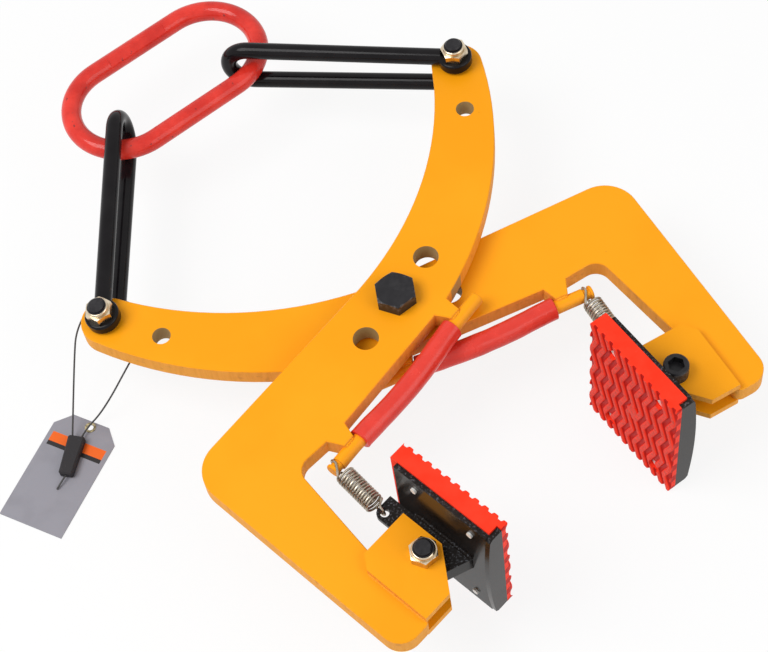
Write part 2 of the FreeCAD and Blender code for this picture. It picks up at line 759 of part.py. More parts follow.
def bight_places():
    upper = TIP + polar(SHACKLE_TURN_UPPER) * SHACKLE_L
    lower = TIP + polar(SHACKLE_TURN_LOWER) * SHACKLE_L
    return upper, vec(-lower.x, lower.y)


def lifting_ring():
    r = RING_BAR / 2
    pieces = []
    for side in (-1, 1):
        pieces.append(rod(r, 2 * RING_HALF, vec(-RING_HALF, side * RING_END_R), ALONG))
        bar = Part.Face(Part.Wire(Part.makeCircle(r, vec(side * RING_HALF, RING_END_R), ALONG)))
        pieces.append(bar.revolve(vec(side * RING_HALF, 0), UP * -side, HALF_TURN))
    solid = pieces[0].fuse(pieces[1:]).removeSplitter()
    facet = Part.makeBox(RING_FLAT_L, RING_BAR, RING_BAR, vec(-RING_FLAT_L / 2, -r, r - RING_FLAT_DEEP))
    solid = solid.cut(placed(facet, vec(0, RING_END_R), RING_FLAT_TURN, ALONG))
    upper, lower = bight_places()
    centre = (upper + lower) * 0.5 + vec(RING_SIDE, RING_END_R - RING_DROP)
    return placed(solid, centre + UP * (r + RING_REST + SHACKLE_BAR / 2 - BIGHT_R))


def on_tag(shape):
    return placed(shape, vec(TAG_X, TAG_Y, GROUND_Z + TAG_LIFT), TAG_TURN)


EYELET = vec(TAG_L - EYELET_FROM_TOP, EYELET_SIDE)
LOCK_END = vec(TAG_L - LOCK_FROM_TOP, LOCK_SIDE, TAG_T + LOCK_T / 2)


def tag_plate():
    half = TAG_W / 2
    solid = slab(outline([
        vec(0, -half),
        vec(TAG_L - TAG_CUT_X, -half),
        vec(TAG_L, TAG_CUT_Y - half),
        vec(TAG_L, half - TAG_CUT_Y),
        vec(TAG_L - TAG_CUT_X, half),
        vec(0, half),
    ]), 0, TAG_T)
    return on_tag(solid.cut(rod(EYELET_BORE / 2, TAG_T, EYELET)))


def tag_eyelet():
    base = EYELET + UP * TAG_T
    return on_tag(rod(EYELET_D / 2, EYELET_T, base).cut(rod(EYELET_BORE / 2, EYELET_T, base)))


def tag_lock():
    """Flat plastic body, a little narrower at the end where the wire's tail comes out."""
    solid = slab(outline([
        vec(0, -LOCK_W / 2),
        vec(0, LOCK_W / 2),
        vec(-LOCK_L, LOCK_END_W / 2),
        vec(-LOCK_L, -LOCK_END_W / 2),
    ]), -LOCK_T / 2, LOCK_T)
    solid = solid.makeChamfer(LOCK_ROUND, solid.Edges)
    return on_tag(placed(solid, LOCK_END, LOCK_TURN))


def tag_tail():
    base = placed(rod(CORD_D / 2, TAIL_L, ORIGIN, polar(HALF_TURN + TAIL_TURN)), ALONG * -LOCK_L)
    return on_tag(placed(base, LOCK_END, LOCK_TURN))


def tag_wire():
    route = [vec(*point) for point in CORD_ROUTE]
    corners = [(route[0], 0)]
    radii = []
    for before, point, after in zip(route, route[1:], route[2:]):
        half = (before - point).getAngle(after - point) / 2
        run = min(before.distanceToPoint(point), after.distanceToPoint(point))
        radii.append(CORD_BEND_SHARE * run * math.tan(half))
        corners.append((point, radii[-1]))
    corners.append((route[-1], 0))
    edges = chain(corners)
    solid = tube(edges, CORD_D)
    length = sum(e.Length for e in edges)
    filled = solid.Volume / (math.pi * CORD_D ** 2 / 4 * length)
    print("wire: length", round(length, 1), "volume over section times length", round(filled, 4))
    print("wire: radii", [round(r, 1) for r in radii])
    return solid


def arm_nodes():
    """The two arms and all that is fixed to each."""
    fork = PAD_PIVOT + UP * MID_Z
    twins = {
        "cheek_outer": cheek(ARM_FACE + PLATE_T),
        "cheek_inner": cheek(ARM_FACE - CHEEK_T),
        "handle_rod": handle_rod(),
        "handle_sleeve": handle_sleeve(),
        "pad_bolt": placed(socket_screw(FORK_GRIP), fork),
        "pad_nut": placed(lock_nut(FORK_GRIP), fork),
    }
    nodes = {"upper_arm": arm(PIVOT_D), "lower_arm": flipped(arm(PIVOT_D + PIVOT_FIT))}
    for name, shape in twins.items():
        nodes["upper_" + name] = shape
        nodes["lower_" + name] = flipped(shape)
    nodes["pivot_bolt"] = pivot_bolt()
    nodes["thrust_washer"] = washer(THRUST_D, ARM_GAP - RUN_GAP, ARM_FACE)
    nodes["end_washer"] = washer(END_WASHER_D, END_WASHER_T, -ARM_FACE - PLATE_T - RUN_GAP)
    nodes["pivot_nut"] = pivot_nut()
    return nodes


def pad_nodes():
    pieces = {
        "pad_plate": pad_plate(),
        "pad_lug": pad_lug(),
        "pad_rubber": pad_rubber(),
        "pad_screws": pad_screws(),
    }
    nodes = {"upper_spring": spring(UPPER_PAD_TURN), "lower_spring": flipped(spring(LOWER_PAD_TURN))}
    for name, shape in pieces.items():
        nodes["upper_" + name] = on_pad(shape, UPPER_PAD_TURN)
        nodes["lower_" + name] = flipped(on_pad(shape, LOWER_PAD_TURN))
    return nodes


def hanger_nodes():
    pieces = {
        "shackle": shackle(),
        "shackle_bolt": socket_screw(SHACKLE_GRIP),
        "shackle_nut": lock_nut(SHACKLE_GRIP),
    }
    nodes = {"lifting_ring": lifting_ring()}
    for name, shape in pieces.items():
        nodes["upper_" + name] = on_tip(shape, SHACKLE_TURN_UPPER, UPPER_DIP)
        lower = on_tip(upside_down(shape), SHACKLE_TURN_LOWER, LOWER_DIP, LEAN_TURN)
        nodes["lower_" + name] = flipped(lower)
    return nodes


def tag_nodes():
    return {
        "tag_plate": tag_plate(),
        "tag_eyelet": tag_eyelet(),
        "tag_lock": tag_lock(),
        "tag_wire": tag_wire(),
        "tag_tail": tag_tail(),
    }


def main():
    """Sets the tongs on their lowest point, centred over the origin, and writes each piece."""
    os.makedirs("parts", exist_ok=True)
    nodes = {**arm_nodes(), **pad_nodes(), **hanger_nodes()}
    box = Part.makeCompound(list(nodes.values())).optimalBoundingBox(False, False)
    shift = vec(-box.Center.x, -box.Center.y, -box.ZMin)
    nodes.update(tag_nodes())
    print("size", round(box.XLength, 2), round(box.YLength, 2), round(box.ZLength, 2))
    print("pivot at", [round(v, 3) for v in shift])
    for name, shape in nodes.items():
        shape.translate(shift)
        shape.exportStep("parts/" + name + ".step")


main()
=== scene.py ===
import json
import math
import random

import bmesh
import bpy
from mathutils import Matrix, Vector, noise

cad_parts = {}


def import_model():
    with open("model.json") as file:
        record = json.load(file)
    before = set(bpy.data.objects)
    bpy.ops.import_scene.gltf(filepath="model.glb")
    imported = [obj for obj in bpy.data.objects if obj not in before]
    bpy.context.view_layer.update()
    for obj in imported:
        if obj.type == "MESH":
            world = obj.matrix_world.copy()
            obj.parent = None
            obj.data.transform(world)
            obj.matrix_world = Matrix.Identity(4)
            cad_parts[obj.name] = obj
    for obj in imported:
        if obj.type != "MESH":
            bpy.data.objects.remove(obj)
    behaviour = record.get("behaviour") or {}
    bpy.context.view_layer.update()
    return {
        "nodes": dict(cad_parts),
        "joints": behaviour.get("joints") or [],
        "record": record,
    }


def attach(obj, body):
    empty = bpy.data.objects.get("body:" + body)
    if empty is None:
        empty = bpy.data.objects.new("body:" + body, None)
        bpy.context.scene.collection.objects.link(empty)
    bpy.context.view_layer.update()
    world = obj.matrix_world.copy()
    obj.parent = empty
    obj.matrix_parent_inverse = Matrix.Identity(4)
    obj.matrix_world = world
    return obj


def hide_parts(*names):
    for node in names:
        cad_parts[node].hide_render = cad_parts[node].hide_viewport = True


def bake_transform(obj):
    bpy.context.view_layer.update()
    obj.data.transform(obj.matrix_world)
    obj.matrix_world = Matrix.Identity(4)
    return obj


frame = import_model()

# Joint anchors that the frame gives, in metres
PLACE = {joint["name"]: Vector(joint["pos_m"]) for joint in frame["joints"]}
PIVOT = PLACE["main_pivot"]
SIDES = ("upper", "lower")
UP = Vector((0, 0, 1))

# Camera fitted to the photograph, placed from the pivot
CAMERA_FROM_PIVOT = Vector((-0.4995, -0.8303, 1.5741))
CAMERA_AZIMUTH = -30.1
CAMERA_ELEVATION = 58.81
CAMERA_ROLL = -9.55
CAMERA_REACH = 50.0
SENSOR = 36.0
PHOTO_WIDTH = 768
FOCAL_PIXELS = 1947
FOCAL_SHARE = FOCAL_PIXELS / PHOTO_WIDTH

# Studio
FLOOR_REACH = 6.0
FLOOR_GREY = 0.85
FLOOR_ROUGH = 0.9
FLOOR_SHINE = 0.1
FLOOR_GLOW_SHARE = 0.86
FLOOR_GLOW = 1.0
WORLD_SEEN = 1.0
WORLD_LIGHT = 0.52
KEY_PLACE = (-1.5, 0.5, 2.5)
KEY_SIZE = 2.0
KEY_POWER = 56
FILL_PLACE = (0.9, -1.9, 1.5)
FILL_SIZE = 2.0
FILL_POWER = 16

# Handle rods and their sleeves
RECESS_LOW = Vector((-0.1183, -0.0735, 0.0))
RECESS_UP = Vector((0.0150, -0.0390, 0.0))
RECESS_L = (RECESS_UP - RECESS_LOW).length
ROD_OFFSET = 0.0177
ROD_R = 0.0070
ROD_BOW = 0.0060
ROD_BEND_R = 0.4800
TAB_REACH = 0.0145
TAB_IN = 0.0060
TAB_OUT = 0.0185
SLEEVE_R = 0.0110
SLEEVE_PAST = 0.0023
SLEEVE_LIP = 0.0007
SLEEVE_GIVE = 0.0002
SLEEVE_RINGS = 72
SLEEVE_SIDES = 40
SLEEVE_WAVES = 4
WAVE_SIZE = (0.00004, 0.00009)
WAVE_RATE = (3, 14)
WAVE_SHIFT = (0, 6)

# Fork cheeks on the feet
PAD_PIVOT = Vector((-0.1470, -0.2250, 0.0))
LEG_LEAN = 9.04
CHEEK_OUT = 0.0430
CHEEK_UP = 0.0280
CHEEK_DOWN = 0.0410
PLATE_T = 0.0200

# Spare bores of the upper arm, from the pivot: middle and radius
BORES = [
    ((0.0493, 0.0166), 0.0123),
    ((-0.0493, -0.0166), 0.0123),
    ((0.1885, 0.1270), 0.0090),
]
BORE_ROOM = 0.0006

# Jaw pads, from the pad pivot towards the face
PAD_TURN = {"upper": 9.0, "lower": 2.5}
PAD_BACK = 0.0270
BLOCK_BACK = 0.0320
FLANGE_FRONT = 0.0420
RUBBER_FRONT = 0.0475
RUBBER_LOW = -0.0550
RUBBER_HIGH = 0.0630
RUBBER_H = 0.1560
RUBBER_CORNER = 0.0030
RUBBER_EDGE = 0.0008
FLANGE_ROOM = 0.0054
CORNER_STEPS = 8
TREAD_T = 0.0025
TREAD_COLUMNS = 11
TREAD_BENDS = 7
TREAD_SWING = 0.0074
TREAD_BEND_SHARE = 0.985
TREAD_UNEVEN = 0.00010
TREAD_STEP = 0.0013
TREAD_EDGE_STEPS = (0.0, 0.0002, 0.0005, 0.0009)
RIB_SUNK = 0.0003
RIM_STEP = 0.0004
BOSS_L = 0.0170
BOSS_H = 0.0270
SCREW_Y = 0.0320
SCREW_Z = 0.0600
SCREW_WELL_R = 0.0065
WELL_SIDES = 40
LUG_HALF_T = 0.0090
LUG_ROOT_DOWN = 0.0320
LUG_ROOT_UP = 0.0330
MERGE = 0.0000005
COLUMN_DIGITS = 7
PAST = 0.0100

# Half section of a rib: distance from its middle line, and height above the sheet
RIB_SECTION = [
    (0.0000, 0.00250),
    (0.0012, 0.00250),
    (0.0019, 0.00243),
    (0.0024, 0.00218),
    (0.0028, 0.00165),
    (0.0031, 0.00098),
    (0.0034, 0.00038),
    (0.0037, 0.00009),
    (0.0041, 0.00000),
]

# Levels of the boss: share of the tread's height, and share of the outline there
BOSS_LEVEL_SHARES = ((-1.0, 1.06), (0.8, 1.0), (0.95, 0.96), (1.0, 0.88))

# Return springs
EAR = Vector((0.0115, 0.0590, 0.0))
WIRE_R = 0.00116
COIL_R = 0.0087
COIL_TURNS = 14
COIL_STEPS = 28
COIL_FROM_ROD = 0.0105
COIL_FROM_EAR = 0.0130
COIL_TAKE_OFF = 60
COIL_END_SHARE = 0.92
ROD_LOOP_R = 0.0071
EAR_LOOP_R = 0.0060
LOOP_TOP = 90
LOOP_SWEEP = 240
LOOP_STEPS = 22
COIL_RESOLUTION = 2
COIL_ROUNDNESS = 3

# Lock nuts: body, joint, way to the nut's top and how far it is
NUT_TOPS = {
    "upper_pad": ("upper_arm", "upper_pad_turn", (0, 0, 1), 0.0315),
    "lower_pad": ("lower_arm", "lower_pad_turn", (0, 0, -1), 0.0315),
    "upper_shackle": ("upper_shackle", "upper_shackle_swing", (-0.0369, 0.0385, 0.9986), 0.0381),
    "lower_shackle": ("lower_shackle", "lower_shackle_swing", (-0.1078, 0.0458, 0.9931), 0.0381),
}
SCREW_R = 0.0080
INSERT_R = 0.0095
INSERT_PLAY = 0.00002
INSERT_PROUD = 0.00035
INSERT_SUNK = 0.0006
INSERT_ROUND = 0.0002
INSERT_SIDES = 48

# Welds
WELD_STEP = 0.0006
WELD_PITCH = 0.0024
WELD_RIPPLE = 0.10
WELD_WANDER = 0.12
WELD_END = 0.0030
WELD_END_SHARE = 0.15
WELD_LEAST_STEPS = 8
WELD_SIDES = 12
WELD_SHIFTS = 100
TAB_WELD_R = 0.0022
CHEEK_WELD_R = 0.0011
LUG_WELD_R = 0.0024

# Tag, its lock and its wire
TAG_PLACE = Vector((-0.3888, 0.0898, -0.0893))
TAG_TURN = 27.0
TAG_BAND_HALF = 0.0300
TAG_ORANGE = (0.0880, 0.0985)
TAG_BLACK = (0.0835, 0.0880)
LOCK_END = Vector((0.0995, 0.0022, 0.0057))
LOCK_TURN = 13.5
LOCK_L = 0.0420
TAIL_SUNK = 0.0010
TAIL_L = 0.0155
TAIL_SIDE = 0.0056
TAIL_DROP = 0.0032
TAIL_SIDE_POWER = 1.2
TAIL_DROP_POWER = 2
TAIL_TIP_SHARE = 0.8
TAIL_STEPS = 14
TAIL_SIDES = 14
CORD_D = 0.0018
CORD_RESOLUTION = 12
CORD_ROUNDNESS = 4
CORD_ROUTE = [
    (-0.3059, 0.1388, -0.0836),
    (-0.2838, 0.1618, -0.0620),
    (-0.2615, 0.1838, -0.0380),
    (-0.2445, 0.2005, -0.0228),
    (-0.2180, 0.2145, -0.0213),
    (-0.1850, 0.1947, -0.0209),
    (-0.1850, 0.1947, -0.0450),
    (-0.1920, 0.1650, -0.0460),
    (-0.2285, 0.1462, -0.0470),
    (-0.2520, 0.1405, -0.0620),
    (-0.2720, 0.1398, -0.0780),
    (-0.2870, 0.1405, -0.0849),
    (-0.3007, 0.1330, -0.0836),
]

# Colours; a pair holds both ends of a cloudy mix
ORANGE = (0.92, 0.355, 0.006)
ORANGE_FACE = ((0.90, 0.338, 0.005), (0.95, 0.368, 0.008))
ORANGE_EDGE = ((0.79, 0.325, 0.034), (0.87, 0.375, 0.050))
ORANGE_RUBBED = (0.46, 0.175, 0.030)
ORANGE_DOT = (0.50, 0.17, 0.015)
ORANGE_SCUFF = (0.62, 0.24, 0.02)
# Khaki of the thin coat in the bores, darkened by painted shade
BORE_KHAKI_AND_SHADE = (0.42, 0.28, 0.12)
BLACK_COATS = ((0.005, 0.004, 0.005), (0.009, 0.008, 0.009))
BLACK_CHIP = (0.06, 0.055, 0.05)
RED_COATS = ((0.58, 0.022, 0.014), (0.78, 0.046, 0.030))
RED_CHIP = (0.20, 0.020, 0.020)
ENAMEL = (0.010, 0.008, 0.007)
ENAMEL_COATS = ((0.008, 0.0065, 0.006), (0.016, 0.012, 0.010))
ENAMEL_GRAIN = (0.13, 0.135, 0.15)
ENAMEL_CHIP = (0.42, 0.41, 0.40)
YELLOW_ZINC = ((0.55, 0.44, 0.30), (0.70, 0.60, 0.45))
BRIGHT_ZINC = ((0.78, 0.77, 0.74), (0.90, 0.89, 0.86))
SPRING_STEEL = (0.38, 0.33, 0.25)
SPRING_CLOUD = ((0.31, 0.265, 0.20), (0.43, 0.385, 0.31))
OXIDE = (0.016, 0.015, 0.018)
OXIDE_CLOUD = ((0.011, 0.010, 0.012), (0.016, 0.015, 0.017))
# Grey of the painted highlight on the sharp edges of black oxide parts
OXIDE_RIM_HIGHLIGHT = (0.16, 0.15, 0.15)
RUBBER_RED = (0.92, 0.036, 0.014)
RUBBER_CLOUD = ((0.94, 0.036, 0.012), (1.0, 0.046, 0.018))
# Deep red of the painted shade in the tread's grooves
RUBBER_GROOVE_SHADE = (0.44, 0.004, 0.002)
RUBBER_DUST = (0.52, 0.052, 0.034)
RUBBER_SPECK = (0.85, 0.30, 0.22)
HOSE_RED = (0.72, 0.042, 0.028)
HOSE_CLOUD = ((0.68, 0.036, 0.022), (0.77, 0.050, 0.032))
HOSE_SCUFF = (0.82, 0.16, 0.12)
BOARD_GREY = (0.275, 0.27, 0.305)
BOARD_SOIL = (0.205, 0.200, 0.225)
BAND_ORANGE = (0.80, 0.13, 0.012)
BAND_BLACK = (0.020, 0.018, 0.018)
LOCK_BLACK = (0.028, 0.026, 0.028)
LOCK_SCUFF = ((0.024, 0.022, 0.024), (0.062, 0.058, 0.062))
BRASS = (0.36, 0.30, 0.17)
BRASS_CLOUD = ((0.26, 0.21, 0.11), (0.45, 0.38, 0.23))
WIRE_BLACK = (0.022, 0.020, 0.020)
WIRE_GRAIN = ((0.016, 0.015, 0.015), (0.05, 0.047, 0.045))

# Spans of a noise over which a mix runs, and the blur round a chip
SOFT = (0.35, 0.65)
WIDE = (0.3, 0.7)
CHIP_BLUR = 0.03

# Sockets of the colour mix node
MIX_A = 6
MIX_B = 7
MIX_OUT = 2

CURVE_ORDER = 3
SMOOTH_ANGLE = 35
TREAD_SMOOTH_ANGLE = 42


def half_frame(side):
    """Matrix from the upper arm's own frame, about the pivot, to the row frame."""
    turn = Matrix.Rotation(math.pi, 4, "Y") if side == "lower" else Matrix.Identity(4)
    return Matrix.Translation(PIVOT) @ turn


def pad_frame(side):
    """Matrix from the pad's own frame, about its pivot, to the row frame."""
    turn = math.radians(PAD_TURN[side])
    flip = half_frame(side).to_3x3().to_4x4()
    return Matrix.Translation(PLACE[side + "_pad_turn"]) @ flip @ Matrix.Rotation(turn, 4, "Z")


def tag_frame():
    """Matrix from the tag's own frame to the row frame."""
    return Matrix.Translation(PIVOT + TAG_PLACE) @ Matrix.Rotation(math.radians(TAG_TURN), 4, "Z")


# Materials


class Graph:
    """Short names for the nodes of one material."""

    def __init__(self, name, colour, roughness, metallic=0.0, shine=0.5):
        self.mat = bpy.data.materials.new(name)
        self.mat.use_nodes = True
        self.tree = self.mat.node_tree
        self.bsdf = self.tree.nodes["Principled BSDF"]
        self.bsdf.inputs["Base Color"].default_value = (*colour, 1)
        self.bsdf.inputs["Roughness"].default_value = roughness
        self.bsdf.inputs["Metallic"].default_value = metallic
        self.bsdf.inputs["Specular IOR Level"].default_value = shine
        self.place = self.tree.nodes.new("ShaderNodeTexCoord").outputs["Object"]
        self.mat.diffuse_color = (*colour, 1)

    def node(self, kind, **settings):
        made = self.tree.nodes.new("ShaderNode" + kind)
        for key, value in settings.items():
            setattr(made, key, value)
        return made

    def wire(self, source, target):
        self.tree.links.new(source, target)

    def feed(self, socket, value):
        if isinstance(value, bpy.types.NodeSocket):
            self.wire(value, socket)
        else:
            socket.default_value = value

    def stretched(self, x, y, z):
        made = self.node("Mapping")
        made.inputs["Scale"].default_value = (x, y, z)
        self.wire(self.place, made.inputs["Vector"])
        return made.outputs["Vector"]

    def noise(self, scale, detail=3.0, rough=0.5, vector=None):
        made = self.node("TexNoise")
        made.inputs["Scale"].default_value = scale
        made.inputs["Detail"].default_value = detail
        made.inputs["Roughness"].default_value = rough
        self.wire(vector or self.place, made.inputs["Vector"])
        return made.outputs["Fac"]

    def cells(self, scale):
        made = self.node("TexVoronoi")
        made.inputs["Scale"].default_value = scale
        self.wire(self.place, made.inputs["Vector"])
        return made.outputs["Distance"]

    def ramp(self, value, low, high, dark=0.0, light=1.0):
        """Takes low..high to dark..light, smoothly, and holds the ends."""
        made = self.node("MapRange", interpolation_type="SMOOTHSTEP")
        self.feed(made.inputs["Value"], value)
        made.inputs["From Min"].default_value = low
        made.inputs["From Max"].default_value = high
        made.inputs["To Min"].default_value = dark
        made.inputs["To Max"].default_value = light
        return made.outputs["Result"]

    def maths(self, operation, a, b=0.0):
        made = self.node("Math", operation=operation)
        self.feed(made.inputs[0], a)
        self.feed(made.inputs[1], b)
        return made.outputs["Value"]

    def mix(self, share, a, b):
        made = self.node("Mix", data_type="RGBA")
        self.feed(made.inputs["Factor"], share)
        for socket, value in ((made.inputs[MIX_A], a), (made.inputs[MIX_B], b)):
            self.feed(socket, value if isinstance(value, bpy.types.NodeSocket) else (*value, 1))
        return made.outputs[MIX_OUT]

    def upright(self):
        """Share by which a face looks up or down, 0 on the cut edges of a flat plate."""
        made = self.node("SeparateXYZ")
        self.wire(self.node("NewGeometry").outputs["Normal"], made.inputs["Vector"])
        return self.maths("ABSOLUTE", made.outputs["Z"])

    def edges(self, low, high):
        """Share by which a place lies on an outer edge."""
        return self.ramp(self.node("NewGeometry").outputs["Pointiness"], low, high)

    def drawn(self, name):
        """Value that the mesh carries at each of its points."""
        return self.node("Attribute", attribute_name=name).outputs["Fac"]

    def colour(self, value):
        self.wire(value, self.bsdf.inputs["Base Color"])
        return self

    def rough(self, value):
        self.wire(value, self.bsdf.inputs["Roughness"])
        return self

    def bump(self, height, strength, distance):
        made = self.node("Bump")
        made.inputs["Strength"].default_value = strength
        made.inputs["Distance"].default_value = distance
        self.wire(height, made.inputs["Height"])
        self.wire(made.outputs["Normal"], self.bsdf.inputs["Normal"])
        return self


def in_bores(g):
    """1 in line with a spare bore of either arm, seen from above, so also on an edge that crosses one."""
    flat = g.stretched(1.0, 1.0, 0.0)
    flag = 0.0
    for side in SIDES:
        for (x, y), radius in BORES:
            middle = half_frame(side) @ Vector((x, y, 0))
            away = g.node("VectorMath", operation="DISTANCE")
            g.wire(flat, away.inputs[0])
            away.inputs[1].default_value = (middle.x, middle.y, 0)
            near = g.maths("LESS_THAN", away.outputs["Value"], radius + BORE_ROOM)
            flag = g.maths("MAXIMUM", flag, near)
    return flag


def orange_paint():
    """Powder coat: smooth on the faces, thin and tan on the cut edges, khaki with painted shade in line with
    spare bores.
    """
    g = Graph("orange_paint", ORANGE, roughness=0.42, shine=0.16)
    face = g.ramp(g.upright(), 0.25, 0.8)
    mottle = g.noise(scale=7.0, detail=4.0)
    fine = g.noise(scale=900.0, detail=2.0)
    streaks = g.noise(scale=260.0, detail=3.0, rough=0.6, vector=g.stretched(1.0, 1.0, 0.12))
    top = g.mix(g.ramp(mottle, *SOFT), *ORANGE_FACE)
    edge = g.mix(g.ramp(streaks, *WIDE), *ORANGE_EDGE)
    rubbed = g.ramp(g.noise(scale=120.0, detail=4.0), 0.58, 0.68)
    edge = g.mix(g.maths("MULTIPLY", rubbed, 0.30), edge, ORANGE_RUBBED)
    # Bore walls: thin-coat khaki, darkened as painted shade of the hole
    edge = g.mix(in_bores(g), edge, BORE_KHAKI_AND_SHADE)
    coat = g.mix(face, edge, top)
    dots = g.ramp(g.cells(scale=31.0), 0.030, 0.016)
    coat = g.mix(g.maths("MULTIPLY", dots, 0.30), coat, ORANGE_DOT)
    drawn_out = g.noise(scale=46.0, detail=6.0, rough=0.72, vector=g.stretched(1.0, 0.35, 1.0))
    scuffs = g.ramp(drawn_out, 0.66, 0.74)
    g.colour(g.mix(g.maths("MULTIPLY", scuffs, 0.16), coat, ORANGE_SCUFF))
    g.rough(g.ramp(g.maths("ADD", fine, g.maths("SUBTRACT", 0.6, face)), 0.2, 1.3, 0.34, 0.60))
    grain = g.maths("MULTIPLY", fine, 0.35)
    torn = g.maths("MULTIPLY", streaks, g.maths("SUBTRACT", 1.2, face))
    return g.bump(g.maths("ADD", grain, torn), strength=0.16, distance=0.0004).mat


def gloss_paint(name, coats, chip, shine, roughness, chip_from, peel):
    """Brushed enamel with small chips and an uneven skin."""
    dark, light = coats
    g = Graph(name, light, roughness, shine=shine)
    cloud = g.noise(scale=34.0, detail=5.0, rough=0.6)
    skin = g.noise(scale=150.0, detail=3.0)
    base = g.mix(g.ramp(cloud, *WIDE), dark, light)
    chips = g.ramp(g.noise(scale=170.0, detail=5.0, rough=0.62), chip_from, chip_from + CHIP_BLUR)
    g.colour(g.mix(chips, base, chip))
    g.rough(g.ramp(g.maths("ADD", cloud, chips), 0.3, 1.2, roughness * 0.75, roughness * 1.7))
    g.bump(g.maths("SUBTRACT", g.maths("MULTIPLY", skin, 0.4), chips), strength=peel, distance=0.0003)
    return g.mat


def black_gloss():
    """Thick black enamel on the pad holders: grainy where it looks up or down, with a few chips."""
    g = Graph("black_gloss", ENAMEL, roughness=0.22, shine=0.11)
    edge = g.ramp(g.upright(), 0.45, 0.85)
    cloud = g.noise(scale=30.0, detail=4.0)
    grain = g.noise(scale=520.0, detail=4.0, rough=0.7)
    rough_grain = g.maths("MULTIPLY", edge, g.ramp(grain, 0.54, 0.63))
    chips = g.ramp(g.noise(scale=150.0, detail=5.0, rough=0.66), 0.735, 0.75)
    base = g.mix(g.ramp(cloud, *WIDE), *ENAMEL_COATS)
    base = g.mix(g.maths("MULTIPLY", rough_grain, 0.7), base, ENAMEL_GRAIN)
    g.colour(g.mix(chips, base, ENAMEL_CHIP))
    g.rough(g.ramp(g.maths("ADD", cloud, edge), 0.3, 1.4, 0.15, 0.48))
    skin = g.maths("MULTIPLY", g.noise(scale=260.0, detail=2.0), 0.25)
    return g.bump(g.maths("ADD", skin, rough_grain), strength=0.22, distance=0.0004).mat


def plated(name, coats, roughness, metallic=1.0):
    """Zinc plate: cloudy passivation over fine turning marks."""
    dark, light = coats
    g = Graph(name, light, roughness, metallic)
    cloud = g.noise(scale=160.0, detail=3.0)
    turned = g.noise(scale=900.0, detail=2.0, rough=0.5, vector=g.stretched(0.15, 0.15, 1.0))
    g.colour(g.mix(g.ramp(cloud, *SOFT), dark, light))
    g.rough(g.ramp(turned, *WIDE, roughness * 0.8, roughness * 1.4))
    return g.bump(turned, strength=0.12, distance=0.0001).mat


def drawn_wire():
    """Oiled spring steel: even, with a faint yellow tint and slight drawing marks."""
    g = Graph("spring_wire", SPRING_STEEL, roughness=0.30, metallic=0.92)
    cloud = g.noise(scale=90.0, detail=3.0)
    marks = g.noise(scale=2600.0, detail=2.0)
    g.colour(g.mix(g.ramp(cloud, *SOFT), *SPRING_CLOUD))
    g.rough(g.ramp(marks, *WIDE, 0.26, 0.34))
    return g.bump(marks, strength=0.05, distance=0.00005).mat


def black_oxide():
    g = Graph("black_oxide", OXIDE, roughness=0.36, shine=0.26)
    grain = g.noise(scale=1300.0, detail=2.0)
    cloud = g.noise(scale=120.0, detail=3.0)
    base = g.mix(g.ramp(cloud, 0.35, 0.8), *OXIDE_CLOUD)
    # Painted highlight: lighter grey along the sharp outer edges, in patches
    rim_highlight = g.maths("MULTIPLY", g.edges(0.53, 0.60), g.ramp(g.noise(scale=300.0, detail=3.0), 0.4, 0.6))
    g.colour(g.mix(g.maths("MULTIPLY", rim_highlight, 0.5), base, OXIDE_RIM_HIGHLIGHT))
    g.rough(g.ramp(cloud, *WIDE, 0.30, 0.42))
    return g.bump(grain, strength=0.10, distance=0.0001).mat


def moulded_rubber():
    """Pad rubber: deep red painted shade in the grooves, dusty and dull on the rubbed tops of the ribs."""
    g = Graph("red_rubber", RUBBER_RED, roughness=0.50, shine=0.10)
    cloud = g.noise(scale=60.0, detail=4.0)
    grain = g.noise(scale=1500.0, detail=3.0, rough=0.6)
    base = g.mix(g.ramp(cloud, *WIDE), *RUBBER_CLOUD)
    height = g.drawn("rib")
    front = g.ramp(g.upright(), 0.85, 0.5)
    # Painted shade: the grooves on the tread's front darkened to deep red
    groove = g.maths("MULTIPLY", g.ramp(height, 0.0, 0.01), g.ramp(height, 0.80, 0.25))
    groove = g.maths("MULTIPLY", groove, front)
    base = g.mix(g.maths("MULTIPLY", groove, 0.9), base, RUBBER_GROOVE_SHADE)
    dust = g.ramp(g.noise(scale=240.0, detail=5.0, rough=0.7), 0.40, 0.66, 0.25, 1.0)
    top = g.maths("MULTIPLY", g.maths("MULTIPLY", g.ramp(height, 0.80, 1.0), dust), front)
    base = g.mix(g.maths("MULTIPLY", top, 0.85), base, RUBBER_DUST)
    specks = g.ramp(g.noise(scale=520.0, detail=4.0, rough=0.7), 0.64, 0.72)
    g.colour(g.mix(g.maths("MULTIPLY", specks, 0.12), base, RUBBER_SPECK))
    g.rough(g.ramp(grain, *WIDE, 0.40, 0.58))
    return g.bump(g.maths("ADD", grain, g.maths("MULTIPLY", cloud, 0.6)), strength=0.18, distance=0.0003).mat


def hose_rubber():
    """Extruded hose: satin skin, a little scuffed."""
    g = Graph("red_hose", HOSE_RED, roughness=0.28, shine=0.34)
    cloud = g.noise(scale=45.0, detail=4.0)
    scuff = g.ramp(g.noise(scale=210.0, detail=5.0, rough=0.7), 0.60, 0.72)
    base = g.mix(g.ramp(cloud, *WIDE), *HOSE_CLOUD)
    g.colour(g.mix(g.maths("MULTIPLY", scuff, 0.25), base, HOSE_SCUFF))
    g.rough(g.ramp(g.maths("ADD", cloud, g.maths("MULTIPLY", scuff, 0.5)), 0.3, 1.0, 0.20, 0.44))
    return g.bump(g.noise(scale=700.0, detail=3.0), strength=0.12, distance=0.0002).mat


